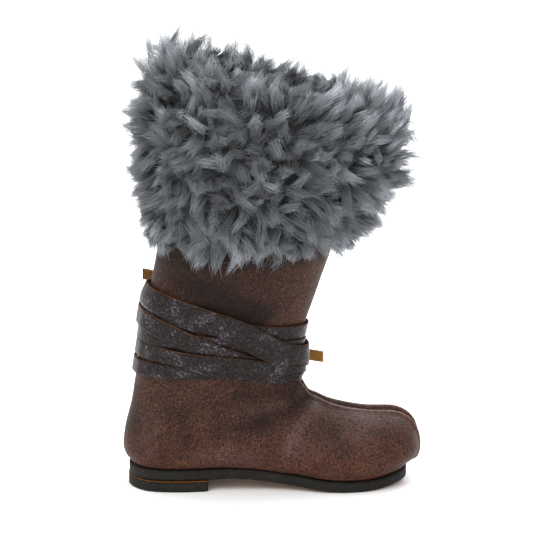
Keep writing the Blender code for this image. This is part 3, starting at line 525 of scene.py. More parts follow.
# Creases in the leather: side -1 inner, 1 outer, 0 both. A trough has a height below 0. Places are x and z.
Crease = namedtuple("Crease", "side height width line")
CREASES = (
    Crease(-1, -0.00080, 0.0022, ((0.0405, 0.0258), (0.0340, 0.0232), (0.0262, 0.0204), (0.0140, 0.0192))),
    Crease(-1, 0.00060, 0.0020, ((0.0380, 0.0284), (0.0300, 0.0258), (0.0215, 0.0243), (0.0120, 0.0240))),
    Crease(-1, -0.00055, 0.0018, ((0.0375, 0.0305), (0.0275, 0.0290), (0.0190, 0.0284))),
    Crease(-1, 0.00080, 0.0026, ((0.0420, 0.0232), (0.0362, 0.0190), (0.0332, 0.0140), (0.0325, 0.0085))),
    Crease(-1, -0.00035, 0.0020, ((0.0300, 0.0178), (0.0240, 0.0150), (0.0160, 0.0138))),
    Crease(-1, -0.00035, 0.0012, ((0.0322, 0.0160), (0.0312, 0.0070))),
    Crease(-1, -0.00045, 0.0042, ((0.0490, 0.0170), (0.0505, 0.0148))),
    Crease(-1, 0.00030, 0.0030, ((0.0430, 0.0150), (0.0440, 0.0100))),
    Crease(-1, -0.00030, 0.0034, ((0.0640, 0.0155), (0.0665, 0.0120))),
    Crease(-1, -0.00030, 0.0022, ((-0.0070, 0.0250), (-0.0090, 0.0150))),
    Crease(-1, 0.00030, 0.0030, ((-0.0020, 0.0220), (-0.0030, 0.0130))),
    Crease(1, -0.00090, 0.0022, ((0.0405, 0.0256), (0.0320, 0.0225), (0.0230, 0.0190), (0.0120, 0.0180))),
    Crease(1, 0.00055, 0.0022, ((0.0375, 0.0286), (0.0280, 0.0260), (0.0180, 0.0238))),
    Crease(1, 0.00070, 0.0026, ((0.0415, 0.0230), (0.0360, 0.0180), (0.0335, 0.0110))),
    Crease(1, -0.00045, 0.0022, ((0.0250, 0.0150), (0.0120, 0.0125), (0.0020, 0.0130))),
    Crease(1, -0.00040, 0.0040, ((0.0560, 0.0150), (0.0600, 0.0130))),
    Crease(0, -0.00040, 0.0022, ((0.0100, 0.0760), (0.0085, 0.0640))),
    Crease(0, 0.00030, 0.0026, ((0.0210, 0.0760), (0.0200, 0.0620))),
    Crease(0, -0.00035, 0.0022, ((0.0345, 0.0760), (0.0320, 0.0600))),
)

# Stains with painted shade in the creases and under the fur, and rubbed places with painted highlights on the
# ridges: how dark or pale, how wide, and where
Patch = namedtuple("Patch", "side strength width line")
# Real stains, and painted shade: most lie in the creases' troughs, and the last two lie round the shaft under the
# fur
STAINS_AND_SHADE = (
    Patch(-1, 1.00, 0.0038, ((0.0120, 0.0602), (0.0180, 0.0570), (0.0270, 0.0535))),
    Patch(-1, 0.45, 0.0034, ((0.0040, 0.0640), (0.0160, 0.0590))),
    Patch(-1, 0.55, 0.0034, ((0.0398, 0.0262), (0.0330, 0.0238), (0.0262, 0.0212))),
    Patch(-1, 0.30, 0.0030, ((0.0262, 0.0206), (0.0150, 0.0192))),
    Patch(-1, 0.50, 0.0030, ((0.0352, 0.0302), (0.0200, 0.0288))),
    Patch(-1, 0.42, 0.0042, ((0.0480, 0.0170), (0.0500, 0.0150))),
    Patch(-1, 0.16, 0.0034, ((0.0620, 0.0165), (0.0665, 0.0120))),
    Patch(-1, 0.35, 0.0030, ((0.0030, 0.0240), (0.0060, 0.0150))),
    Patch(-1, 0.45, 0.0026, ((-0.0100, 0.0300), (-0.0110, 0.0180))),
    Patch(1, 0.80, 0.0040, ((0.0120, 0.0600), (0.0260, 0.0560))),
    Patch(1, 0.70, 0.0024, ((0.0398, 0.0256), (0.0320, 0.0222), (0.0200, 0.0188))),
    Patch(1, 0.50, 0.0040, ((0.0520, 0.0160), (0.0580, 0.0130))),
    Patch(1, 0.45, 0.0036, ((0.0020, 0.0200), (0.0100, 0.0120))),
    # Painted shade under the fur's hem, round the shaft
    Patch(0, 0.60, 0.0030, ((-0.0050, 0.0710), (0.0450, 0.0710))),
    Patch(0, 0.42, 0.0085, ((-0.0040, 0.0640), (0.0260, 0.0640))),
)
# Rubbed places, and painted highlights: most lie on the creases' ridges
RUBS_AND_HIGHLIGHTS = (
    Patch(-1, 0.16, 0.0075, ((0.0560, 0.0180), (0.0740, 0.0170))),
    Patch(-1, 0.48, 0.0026, ((0.0425, 0.0232), (0.0370, 0.0190), (0.0345, 0.0130))),
    Patch(-1, 0.30, 0.0040, ((0.0560, 0.0190), (0.0400, 0.0130))),
    Patch(-1, 0.25, 0.0030, ((-0.0040, 0.0240), (-0.0050, 0.0130))),
    Patch(-1, 0.35, 0.0040, ((0.0100, 0.0110), (0.0250, 0.0100))),
    Patch(-1, 0.30, 0.0030, ((0.0330, 0.0260), (0.0200, 0.0244))),
    Patch(1, 0.50, 0.0022, ((0.0405, 0.0230), (0.0350, 0.0170))),
    Patch(1, 0.35, 0.0040, ((0.0080, 0.0105), (0.0250, 0.0100))),
)

# The front seam: it lies sunk between the two folds' ridges
RIDGE_SPACING = 0.0028
RIDGE_WIDTH = 0.0010
# How wide the painted highlight along each ridge is
RIDGE_HIGHLIGHT_WIDTH = 0.0005
SEAM_WIDTH = 0.0014
SEAM_LINE = ((0.0300, 0.0005), (0.0500, 0.0006), (0.0740, -0.0002))


def side_share(places, side):
    """How much a mark on one side counts at each point: all of it there, none past the middle."""
    if side == 0:
        return np.ones(len(places))
    return slope(side * places[:, 1], -0.0005, 0.0040)


def marks(places, patches):
    """How strongly patches cover each point."""
    flat = places[:, [0, 2]]
    total = np.zeros(len(places))
    for patch in patches:
        total += patch.strength * bell(near_line(flat, patch.line), patch.width) * side_share(places, patch.side)
    return np.clip(total, 0, 1)


def outwards(places, normals):
    """1 where a normal points away from the boot's inside, and -1 where it points into it."""
    best = np.full(len(places), np.inf)
    away = np.zeros_like(places)
    for start, end in zip(SPINE, SPINE[1:]):
        start = np.array(start)
        run = np.array(end) - start
        share = np.clip(((places - start) @ run) / (run @ run), 0, 1)
        step = places - start - share[:, None] * run
        distance = np.linalg.norm(step, axis=1)
        nearer = distance < best
        best[nearer] = distance[nearer]
        away[nearer] = step[nearer]
    return np.where((away * normals).sum(1) >= 0, 1.0, -1.0)


def unevenness(places, size, seed):
    """Smooth bumps of a size in metres, from -1 to 1."""
    shift = Vector((seed * 7.3, seed * 3.1, seed * 5.7))
    return np.array([noise.noise(Vector(place) / size + shift) for place in places])


def make_upper(settings):
    """The leather with its creases, sunk front seam, back seam and woven inside."""
    piece = refined_copy("upper", "upper_leather", 2, 60, 1.0)
    mesh = piece.data
    places, normals = places_and_normals(mesh)
    sign = outwards(places, normals)
    flat = places[:, [0, 2]]
    height = np.zeros(len(places))
    for crease in CREASES:
        size = crease.height * settings.crease_depth
        height += size * bell(near_line(flat, crease.line), crease.width) * side_share(places, crease.side)
    bare = 1 - slope(places[:, 2], 0.0285, 0.0330) * (1 - slope(places[:, 2], 0.0570, 0.0620))
    height += settings.unevenness * unevenness(places, 0.0085, 1) * bare
    seam_side = np.interp(places[:, 0], [p[0] for p in SEAM_LINE], [p[1] for p in SEAM_LINE])
    across = np.abs(places[:, 1] - seam_side)
    vamp = slope(normals[:, 2] * sign, 0.10, 0.45) * slope(places[:, 0], 0.036, 0.041)
    vamp = np.maximum(vamp, slope(normals[:, 0] * sign, 0.55, 0.80) * slope(places[:, 0], 0.066, 0.070) * 0.9)
    outer = sign > 0
    height += np.where(outer, settings.seam_ridge * bell(across - RIDGE_SPACING, RIDGE_WIDTH) * vamp, 0.0)
    height -= settings.seam_depth * bell(across, SEAM_WIDTH) * vamp
    shaft = slope(np.abs(normals[:, 0]), 0.75, 0.92) * slope(places[:, 2], 0.010, 0.016) * (1 - vamp)
    back_or_front = np.where(places[:, 0] < 0.004, 1.0, slope(places[:, 2], 0.058, 0.062))
    height += np.where(outer, -0.00022 * bell(places[:, 1], 0.0011) * shaft * back_or_front, 0.0)
    moved = places + normals * (sign * height)[:, None]
    put_places(mesh, moved)
    # Stains, and painted shade in the creases and under the fur
    put_attribute(mesh, "stain_and_shade", marks(places, STAINS_AND_SHADE))
    # A painted highlight along each seam ridge, added to the rubbed places
    ridge = np.where(outer, bell(across - RIDGE_SPACING, RIDGE_HIGHLIGHT_WIDTH) * vamp, 0.0)
    put_attribute(mesh, "worn_and_highlit", np.clip(marks(places, RUBS_AND_HIGHLIGHTS) + ridge, 0, 1))
    angle = np.arctan2(places[:, 1], places[:, 0] - 0.0150)
    put_attribute(mesh, "cloth", np.stack([angle * 0.018, places[:, 2], np.zeros(len(places))], 1),
                  "FLOAT_VECTOR", "POINT", "vector")
    mesh.materials.append(finish("boot_leather", weave_leather, settings.leather_colour))
    mesh.materials.append(finish("boot_lining", weave_lining, settings.lining_colour))
    centres = np.empty(len(mesh.polygons) * 3, np.float32)
    mesh.polygons.foreach_get("center", centres)
    facing = np.empty(len(mesh.polygons) * 3, np.float32)
    mesh.polygons.foreach_get("normal", facing)
    inside = outwards(centres.reshape(-1, 3).astype(float), facing.reshape(-1, 3).astype(float)) < 0
    mesh.polygons.foreach_set("material_index", inside.astype(np.int32))
    finish_piece(piece, "upper_leather", "upper")


def paint_by_facing(mesh, choose):
    """Give each face the material that a function picks from its normal and centre."""
    for face in mesh.polygons:
        face.material_index = choose(face.normal, face.center)


def make_sole(settings):
    """Outsole and heel lift: painted edges, bare board below, and a raw line where they are glued."""
    paint = finish("sole_edge_paint", weave_edge_paint, settings.edge_colour)
    board = finish("sole_board", weave_board, settings.board_colour)
    for node in ("outsole", "heel_lift"):
        piece = refined_copy(node, node + "_board", 2, 50, 0.92)
        piece.data.materials.append(paint)
        piece.data.materials.append(board)
        paint_by_facing(piece.data, lambda normal, centre: 1 if normal.z < -0.92 else 0)
        finish_piece(piece, "sole_board", node)
    make_glue_line(finish("heel_glue", weave_board, settings.glue_colour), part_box("heel_lift")[1].z)


def make_glue_line(glue, low):
    """The thin raw layer between the heel lift and the outsole."""
    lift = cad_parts["heel_lift"].data
    rim = sorted({(round(v.co.x, 6), round(v.co.y, 6)) for v in lift.vertices if v.co.z > low - 0.0001},
                 key=lambda p: math.atan2(p[1], p[0] + 0.0005))
    middle = Vector((sum(p[0] for p in rim) / len(rim), sum(p[1] for p in rim) / len(rim)))
    outline = [middle + (Vector(p) - middle) * 0.988 for p in rim]
    layers = (low + 0.00002, low + 0.00028)
    vertices = [(p.x, p.y, z) for z in layers for p in outline]
    count = len(outline)
    faces = [tuple(range(count))[::-1], tuple(range(count, 2 * count))]
    faces += [(i, (i + 1) % count, (i + 1) % count + count, i + count) for i in range(count)]
    piece = new_piece("heel_glue_line", vertices, faces)
    piece.data.materials.append(glue)
    finish_piece(piece, "sole_board")
    piece.data.shade_flat()


def make_insole(settings):
    """The board that the foot stands on."""
    piece = refined_copy("insole", "insole_board", 2, 50, 0.9)
    piece.data.materials.append(finish("insole_board", weave_board, settings.board_colour))
    finish_piece(piece, "insole_board", "insole")


def make_straps(settings):
    """The wound strap, its knot and its two tails."""
    leather = finish("strap_leather", weave_strap, settings.strap_colour)
    cut = finish("strap_cut_edge", weave_cut_edge, settings.cut_edge_colour)
    backing = finish("strap_backing", weave_backing, settings.lining_colour)
    strap = refined_copy("ankle_strap", "ankle_strap_leather", 2, 50, 0.8)
    places, normals = places_and_normals(strap.data)
    ripple = settings.ripple * unevenness(places, 0.0032, 2)
    put_places(strap.data, places + normals * np.minimum(ripple, 0.0)[:, None])
    strap.data.materials.append(leather)
    strap.data.materials.append(cut)
    paint_by_facing(strap.data, lambda normal, centre: 1 if abs(normal.z) > 0.62 else 0)
    finish_piece(strap, "strap_leather", "ankle_strap")
    knot = refined_copy("strap_knot", "strap_knot_leather", 2, 80, 0.0)
    knot.data.materials.append(leather)
    finish_piece(knot, "strap_leather", "strap_knot")
    for node in ("strap_tail_front", "strap_tail_back"):
        tail = refined_copy(node, node + "_leather", 2, 50, 0.85, paint_tail)
        for material in (leather, cut, backing):
            tail.data.materials.append(material)
        finish_piece(tail, "strap_leather", node)


def paint_tail(sides):
    """A tail is leather outside, cloth inside and cut at its edges."""
    def outward(side):
        return sum(face.calc_area() * face.normal.dot(face.calc_center_median() - ANKLE) for face in side)

    for side in sides:
        for face in side:
            face.material_index = 1
    outer, inner = sorted(sides[:2], key=outward, reverse=True)
    for side, material in ((outer, 0), (inner, 2)):
        for face in side:
            face.material_index = material


# The fur cuff's skin from the outer hem over the rim to the inner hem: height from the hem to the crest,
# depth off the leather and lock length in metres, and the pile's lean in degrees above level
FurRow = namedtuple("FurRow", "height depth lean reach")
FUR_OUTSIDE = (
    FurRow(0.00, 0.0008, -76, 0.0064),
    FurRow(0.07, 0.0021, -68, 0.0076),
    FurRow(0.18, 0.0031, -54, 0.0084),
    FurRow(0.32, 0.0037, -36, 0.0092),
    FurRow(0.46, 0.0040, -20, 0.0100),
    FurRow(0.60, 0.0040, 0, 0.0104),
    FurRow(0.74, 0.0036, 28, 0.0106),
    FurRow(0.86, 0.0028, 48, 0.0100),
    FurRow(0.95, 0.0014, 66, 0.0096),
)
FUR_CREST = FurRow(1.00, 0.0, 86, 0.0092)
FUR_INSIDE = (
    FurRow(0.92, 0.0010, 66, 0.0056),
    FurRow(0.74, 0.0018, 40, 0.0050),
    FurRow(0.50, 0.0019, 14, 0.0046),
    FurRow(0.24, 0.0014, -14, 0.0040),
)
FUR_HEM = 0.0742
FUR_SWELL = 0.34
FRONT_REACH = (0.98, 1.46)
SIDE_REACH = 1.00
BACK_REACH = (0.72, 1.10)
CREST_FRONT = 0.0006
CREST_BACK = 0.0082
FUR_FLOW = 0.38
CREST_FLOW = 0.80
FUR_EASE = 0.0008
INNER_DROP = 0.0150
FUR_COLUMNS = 120
ROW_STEPS = 4
LOCK_NAMES = ("fur_hem_locks", "fur_lower_locks", "fur_upper_locks", "fur_rim_locks", "fur_inner_locks")


class Shaft:
    """Reads the leather's outer face round the shaft: 0 degrees in front, 90 on the outer side."""

    def __init__(self):
        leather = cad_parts["upper"].data
        self.tree = BVHTree.FromPolygons([v.co for v in leather.vertices],
                                         [tuple(p.vertices) for p in leather.polygons])
        high = [v.co for v in leather.vertices if v.co.z > RIM_BACK - 0.0100]
        self.back = min(high, key=lambda p: p.x)
        self.front = max(high, key=lambda p: p.x)
        self.foot = Vector((0.0135, 0.0, 0.0314))
        self.head = (self.back + self.front) / 2

    def axis(self, z):
        share = min(max((z - self.foot.z) / (self.head.z - self.foot.z), 0.0), 1.0)
        return Vector((between(self.foot.x, self.head.x, share), 0.0, z))

    def cast(self, angle, z):
        """Distance from the shaft's middle line to the leather's outer face."""
        reach = 0.060
        away = Vector((math.cos(angle), math.sin(angle), 0.0))
        start = self.axis(z) + away * reach
        return reach - self.tree.ray_cast(start, -away)[3]

    def rim(self, angle):
        """Height of the sloping rim."""
        reach = self.cast(angle, self.front.z - 2 * LEATHER)
        z = self.head.z
        for _ in range(4):
            x = self.axis(z).x + reach * math.cos(angle)
            z = between(self.back.z, self.front.z, (x - self.back.x) / (self.front.x - self.back.x))
        return z

    def point(self, angle, z, out):
        """A point at a distance out from the leather's outer face."""
        away = Vector((math.cos(angle), math.sin(angle), 0.0))
        radius = self.cast(angle, min(z, self.rim(angle) - 2 * LEATHER))
        return self.axis(z) + away * (radius + out)


def fur_profile(shaft, angle):
    """Points, pile directions and lock lengths of the fur's skin at one angle."""
    rim = shaft.rim(angle)
    turned = (1 - math.cos(angle)) / 2
    crest = rim + between(CREST_FRONT, CREST_BACK, turned)
    swell = 1 + FUR_SWELL * math.cos(angle)

    def longer(height):
        end = between(*(FRONT_REACH if turned < 0.5 else BACK_REACH), height)
        return between(SIDE_REACH, end, math.cos(angle) ** 2)

    rows = [(between(FUR_HEM, crest, r.height), FUR_EASE + r.depth * swell, r.lean,
             r.reach * longer(r.height), 1) for r in FUR_OUTSIDE]
    rows.append((crest, -LEATHER / 2, FUR_CREST.lean, FUR_CREST.reach, 1))
    rows += [(between(rim - INNER_DROP, crest, r.height), -LEATHER - 0.0003 - r.depth, r.lean, r.reach, -1)
             for r in FUR_INSIDE]
    away = Vector((math.cos(angle), math.sin(angle), 0.0))
    profile = []
    for z, out, lean, reach, side in rows:
        slant = math.radians(lean)
        near_crest = slope((z - FUR_HEM) / (crest - FUR_HEM), 0.88, 1.0)
        forward = FUR_FLOW * abs(away.y) + CREST_FLOW * turned * near_crest
        pile = away * (side * math.cos(slant)) + Vector((forward, 0, math.sin(slant)))
        profile.append((shaft.point(angle, z, out), pile, reach))
    return profile


def fur_slot(shaft, angle):
    """The undercoat's face along the leather, from the inner hem over the rim to the outer hem."""
    rim = shaft.rim(angle)
    inside = -LEATHER - 0.0002
    low = rim - INNER_DROP
    points = [shaft.point(angle, z, inside) for z in (low, between(low, rim, 0.5), rim + 0.0002)]
    return points + [shaft.point(angle, between(rim + 0.0002, FUR_HEM, i / 5), 0.0003) for i in range(6)]


def make_undercoat(shaft):
    """The closed woolly skin that the locks grow on. Its faces carry the zone that they belong to."""
    vertices = []
    piles = []
    reaches = []
    rows = 0
    skin = len(FUR_OUTSIDE) + 1 + len(FUR_INSIDE)
    for i in range(FUR_COLUMNS):
        angle = 2 * math.pi * i / FUR_COLUMNS
        profile = fur_profile(shaft, angle)
        slot = fur_slot(shaft, angle)
        fine = []
        for (p, a, r), (q, b, s) in zip(profile, profile[1:]):
            for k in range(ROW_STEPS):
                t = k / ROW_STEPS
                fine.append((p.lerp(q, t), a.lerp(b, t).normalized(), between(r, s, t)))
        fine.append(profile[-1])
        rows = len(fine)
        vertices += [p for p, _, _ in fine] + slot
        piles += [a for _, a, _ in fine] + [Vector((0, 0, 1))] * len(slot)
        reaches += [r for _, _, r in fine] + [0.0] * len(slot)
    loop = len(vertices) // FUR_COLUMNS
    faces = []
    growing = []
    for i in range(FUR_COLUMNS):
        for j in range(loop):
            a, b = i * loop, (i + 1) % FUR_COLUMNS * loop
            k = (j + 1) % loop
            faces.append((a + j, b + j, b + k, a + k))
            growing.append(j if j < rows - 1 else -1)
    piece = new_piece("fur_undercoat", vertices, faces)
    mesh = piece.data
    areas = np.array([face.area for face in mesh.polygons])
    growing = np.array(growing)
    by_row = np.array([areas[growing == j].sum() for j in range(rows - 1)])
    middles = (np.cumsum(by_row) - by_row / 2) / by_row.sum()
    zone_of_row = np.minimum((middles * len(LOCK_NAMES)).astype(int), len(LOCK_NAMES) - 1)
    zones = np.where(growing >= 0, zone_of_row[growing], -1)
    put_attribute(mesh, "pile", [list(p) for p in piles], "FLOAT_VECTOR", "POINT", "vector")
    put_attribute(mesh, "reach", reaches)
    put_attribute(mesh, "zone", zones.astype(np.int32), "INT", "FACE")
    return piece, by_row.sum()


def fur_tree(material):
    """Geometry Nodes that draw strands over a skin and gather them into pointed locks."""
    tree = bpy.data.node_groups.new("fur_locks", "GeometryNodeTree")
    face = tree.interface
    face.new_socket(name="Geometry", in_out="OUTPUT", socket_type="NodeSocketGeometry")
    face.new_socket(name="Geometry", in_out="INPUT", socket_type="NodeSocketGeometry")
    for name, kind in (("Zone", "Int"), ("Lock spacing", "Float"), ("Strands per area", "Float"),
                       ("Gather", "Float"), ("Stray", "Float"), ("Crimp", "Float"), ("Curl", "Float"),
                       ("Lean spread", "Float"),
                       ("Swirl", "Float"), ("Swirl size", "Float"), ("Strand width", "Float"), ("Seed", "Int")):
        face.new_socket(name=name, in_out="INPUT", socket_type="NodeSocket" + kind)
    loom = Loom(tree)
    skin = loom.add("NodeGroupInput", None, None, "Geometry")
    seed = skin.other("Seed")
    place = loom.add("GeometryNodeInputPosition")
    vector = {"data_type": "FLOAT_VECTOR"}

    def named(name, kind="FLOAT"):
        return loom.add("GeometryNodeInputNamedAttribute", {"data_type": kind}, {"Name": name}, "Attribute")

    def store(geometry, name, value, kind="FLOAT"):
        return loom.add("GeometryNodeStoreNamedAttribute", {"data_type": kind, "domain": "POINT"},
                        {"Geometry": geometry, "Name": name, "Value": value})

    def chance(low, high, step):
        return loom.add("FunctionNodeRandomValue", {"data_type": "FLOAT"},
                        {"Min": low, "Max": high, "Seed": seed + step}, "Value")

    def scatter(size, step):
        return loom.add("FunctionNodeRandomValue", vector,
                        {"Min": (-size,) * 3, "Max": (size,) * 3, "Seed": seed + step}, "Value")

    def scaled(direction, size):
        return loom.add("ShaderNodeVectorMath", {"operation": "SCALE"}, {0: direction, "Scale": size})

    guides = loom.add("GeometryNodeDistributePointsOnFaces", {"distribute_method": "POISSON"},
                      {"Mesh": skin, "Distance Min": skin.other("Lock spacing"), "Density Max": 500000.0,
                       "Density Factor": 1.0, "Seed": seed,
                       "Selection": named("zone", "INT").maths("GREATER_THAN", named("zone", "INT"), -0.5)},
                      "Points")
    drift = loom.add("ShaderNodeTexNoise", None, {"Vector": place, "Scale": 1 / skin.other("Swirl size"),
                                                  "Detail": 1.0}, "Color")
    drift = loom.vector("SUBTRACT", drift, (0.5, 0.5, 0.5))
    lean = loom.vector("ADD", named("pile", "FLOAT_VECTOR"), scaled(scatter(1.0, 1), skin.other("Lean spread")))
    lean = loom.vector("ADD", lean, scaled(drift, skin.other("Swirl") * 4))
    length = named("reach") * chance(0.55, 1.30, 2)
    tip = loom.vector("ADD", place, scaled(loom.vector("NORMALIZE", lean), length))
    guides = store(guides, "lock_tip", tip, "FLOAT_VECTOR")
    guides = store(guides, "lock_curl", scaled(scatter(1.0, 3), skin.other("Curl") * length), "FLOAT_VECTOR")
    guides = store(guides, "tone", chance(0.0, 1.0, 4))
    guides = store(guides, "tight", chance(0.45, 1.0, 10))

    strands = loom.add("GeometryNodeDistributePointsOnFaces", {"distribute_method": "RANDOM"},
                       {"Mesh": skin, "Density": skin.other("Strands per area"), "Seed": seed + 11,
                        "Selection": loom.add("FunctionNodeCompare", {"data_type": "INT", "operation": "EQUAL"},
                                              {"A": named("zone", "INT"), "B": skin.other("Zone")})},
                       "Points")
    nearest = loom.add("GeometryNodeSampleNearest", {"domain": "POINT"}, {"Geometry": guides})

    def of_lock(value, kind="FLOAT_VECTOR"):
        return loom.add("GeometryNodeSampleIndex", {"data_type": kind, "domain": "POINT"},
                        {"Geometry": guides, "Value": value, "Index": nearest}, "Value")

    middle = of_lock(place)
    axis = loom.vector("SUBTRACT", of_lock(named("lock_tip", "FLOAT_VECTOR")), middle)
    own = loom.vector("SUBTRACT", place, middle)
    share = chance(0.60, 1.0, 5)
    loose = 1 - skin.other("Gather") * of_lock(named("tight"), "FLOAT") * (1 - chance(0.0, 1.0, 6) ** 3)
    end = loom.vector("ADD", middle, scaled(axis, share))
    end = loom.vector("ADD", end, scaled(own, loose))
    end = loom.vector("ADD", end, scaled(scatter(1.0, 7), skin.other("Stray") * (0.4 + chance(0.0, 1.4, 12) ** 3)))
    bend = loom.vector("ADD", place, scaled(axis, share * 0.5))
    bend = loom.vector("ADD", bend, of_lock(named("lock_curl", "FLOAT_VECTOR")))
    bend = loom.vector("ADD", bend, scaled(scatter(1.0, 13), skin.other("Crimp")))
    tone = of_lock(named("tone"), "FLOAT") * 0.6 + chance(0.0, 0.4, 8)
    strands = store(strands, "root", place, "FLOAT_VECTOR")
    strands = store(strands, "bend", bend, "FLOAT_VECTOR")
    strands = store(strands, "end", end, "FLOAT_VECTOR")
    strands = store(strands, "tone", tone)
    strands = store(strands, "girth", chance(0.7, 1.3, 9))

    spike = loom.add("GeometryNodeMeshCone", {"fill_type": "NGON"},
                     {"Vertices": 3, "Side Segments": 2, "Fill Segments": 1, "Radius Top": 0.0,
                      "Radius Bottom": 1.0, "Depth": 1.0}, "Mesh")
    spike = store(spike, "shape", place, "FLOAT_VECTOR")
    placed = loom.add("GeometryNodeInstanceOnPoints", None, {"Points": strands, "Instance": spike})
    fur = loom.add("GeometryNodeRealizeInstances", None, {"Geometry": placed})
    shape = loom.add("ShaderNodeSeparateXYZ", None, {"Vector": named("shape", "FLOAT_VECTOR")}, "X")
    along = shape.other("Z")
    rest = 1 - along
    run = loom.vector("NORMALIZE", loom.vector("SUBTRACT", named("end", "FLOAT_VECTOR"),
                                               named("root", "FLOAT_VECTOR")))
    aside = loom.vector("NORMALIZE", loom.vector("CROSS_PRODUCT", run, (0.31, 0.52, 0.79)))
    over = loom.vector("CROSS_PRODUCT", run, aside)
    width = skin.other("Strand width") * named("girth")
    spot = scaled(named("root", "FLOAT_VECTOR"), rest * rest)
    spot = loom.vector("ADD", spot, scaled(named("bend", "FLOAT_VECTOR"), along * rest * 2))
    spot = loom.vector("ADD", spot, scaled(named("end", "FLOAT_VECTOR"), along * along))
    spot = loom.vector("ADD", spot, scaled(aside, shape * width))
    spot = loom.vector("ADD", spot, scaled(over, shape.other("Y") * width))
    fur = loom.add("GeometryNodeSetPosition", None, {"Geometry": fur, "Position": spot})
    fur = store(fur, "along", along)
    fur = loom.add("GeometryNodeSetMaterial", None, {"Geometry": fur, "Material": material})
    loom.add("NodeGroupOutput", None, {"Geometry": fur})
    return tree


def make_fur(settings):
    """The undercoat and its bands of locks."""
    shaft = Shaft()
    undercoat, area = make_undercoat(shaft)
    tree = fur_tree(finish("fur_strands", weave_fur, settings.fur_colour))
    sockets = {item.name: item.identifier for item in tree.interface.items_tree if item.in_out == "INPUT"}
    values = {"Lock spacing": settings.lock_spacing, "Strands per area": settings.strands / area,
              "Gather": settings.gather, "Stray": settings.stray, "Crimp": settings.crimp, "Curl": settings.curl,
              "Lean spread": settings.lean_spread, "Swirl": settings.swirl, "Swirl size": settings.swirl_size,
              "Strand width": settings.strand_width, "Seed": 5}
    for zone, name in enumerate(LOCK_NAMES):
        piece = bpy.data.objects.new(name, undercoat.data.copy())
        bpy.context.scene.collection.objects.link(piece)
        modifier = piece.modifiers.new("locks", "NODES")
        modifier.node_group = tree
        for label, value in values.items():
            modifier[sockets[label]] = value
        modifier[sockets["Zone"]] = zone
        settle(piece)
        for spare in ("root", "bend", "end", "shape", "girth", "pile", "reach"):
            layer = piece.data.attributes.get(spare)
            if layer:
                piece.data.attributes.remove(layer)
        finish_piece(piece, "grey_fur", "fur_cuff")
    undercoat.data.materials.append(finish("fur_undercoat", weave_undercoat, settings.undercoat_shade_colour))
    finish_piece(undercoat, "grey_fur", "fur_cuff")


# Stage


def make_light(name, place, size, power, colour):
    """A square soft light that looks at the boot."""
    lamp = bpy.data.lights.new(name, "AREA")
    lamp.shape = "SQUARE"
    lamp.size = size
    lamp.energy = power
    lamp.color = colour
    item = bpy.data.objects.new(name, lamp)
    item.location = place
    item.rotation_euler = (Vector(CAMERA_TARGET) - Vector(place)).to_track_quat("-Z", "Y").to_euler()
    bpy.context.scene.collection.objects.link(item)


def make_stage(settings):
    """A pale table, a soft white surround, three soft lights and the camera."""
    steps = 96
    radius = settings.floor_radius
    rim = [(radius * math.cos(2 * math.pi * i / steps), radius * math.sin(2 * math.pi * i / steps), 0.0)
           for i in range(steps)]
    floor = new_piece("floor", rim, [tuple(range(steps))])
    floor.data.materials.append(finish("floor", weave_floor, settings.floor_colour))
    world = bpy.data.worlds.new("surround")
    world.use_nodes = True
    background = world.node_tree.nodes["Background"]
    background.inputs["Color"].default_value = (1.0, 1.0, 1.0, 1.0)
    background.inputs["Strength"].default_value = settings.surround
    bpy.context.scene.world = world
    make_light("key_light", (-0.35, -0.55, 0.75), 0.50, settings.key_power, (1.0, 0.99, 0.97))
    make_light("top_light", (0.10, 0.10, 0.85), 0.70, settings.top_power, (1.0, 1.0, 1.0))
    make_light("back_light", (0.30, 0.60, 0.55), 0.45, settings.back_power, (0.96, 0.98, 1.0))
    lens = bpy.data.cameras.new("camera")
    lens.sensor_width = SENSOR_WIDTH
    lens.lens = SENSOR_WIDTH / 2 / math.tan(math.radians(CAMERA_VIEW) / 2)
    lens.clip_start = 0.01
    camera = bpy.data.objects.new("camera", lens)
    camera.location = CAMERA_PLACE
    camera.rotation_euler = (Vector(CAMERA_TARGET) - Vector(CAMERA_PLACE)).to_track_quat("-Z", "Y").to_euler()
    bpy.context.scene.collection.objects.link(camera)
    bpy.context.scene.camera = camera
    bpy.context.scene.view_settings.view_transform = "Standard"


# The add-on


def length(name, description, default):
    """A length that the panel shows."""
    return FloatProperty(name=name, description=description, default=default, min=0.0, unit="LENGTH", precision=5)


def share(name, description, default):
    """A plain number that the panel shows."""
    return FloatProperty(name=name, description=description, default=default, min=0.0, subtype="FACTOR",
                         soft_max=2.0)


def power(name, description, default):
    """A lamp's power that the panel shows."""
    return FloatProperty(name=name, description=description, default=default, min=0.0, unit="POWER")


def colour(name, description, default):
    """A colour that the panel shows."""
    return FloatVectorProperty(name=name, description=description, default=linear(default), min=0.0, max=1.0,
                               size=3, subtype="COLOR")


class BootLeatherSettings(bpy.types.PropertyGroup):
    leather_colour: colour("Leather", "The boot leather's middle colour", LEATHER_COLOUR)
    lining_colour: colour("Lining", "The woven backing's middle colour", BACKING_COLOUR)
    crease_depth: share("Crease depth", "How deep the creases are, 1 as worn", 1.0)
    unevenness: length("Unevenness", "Height of the leather's soft bumps", 0.00022)
    seam_ridge: length("Seam ridge", "Height of the ridges beside the front seam", 0.00075)
    seam_depth: length("Seam depth", "How far the front seam is sunk", 0.00110)


class BootStrapSettings(bpy.types.PropertyGroup):
    strap_colour: colour("Strap", "The strap leather's middle colour", STRAP_COLOUR)
    cut_edge_colour: colour("Cut edge", "Colour of the strap's raw edges", CUT_EDGE_COLOUR)
    lining_colour: colour("Backing", "Colour of the cloth on the back of the strap", BACKING_COLOUR)
    ripple: length("Ripple", "How uneven the strap's face is", 0.00012)


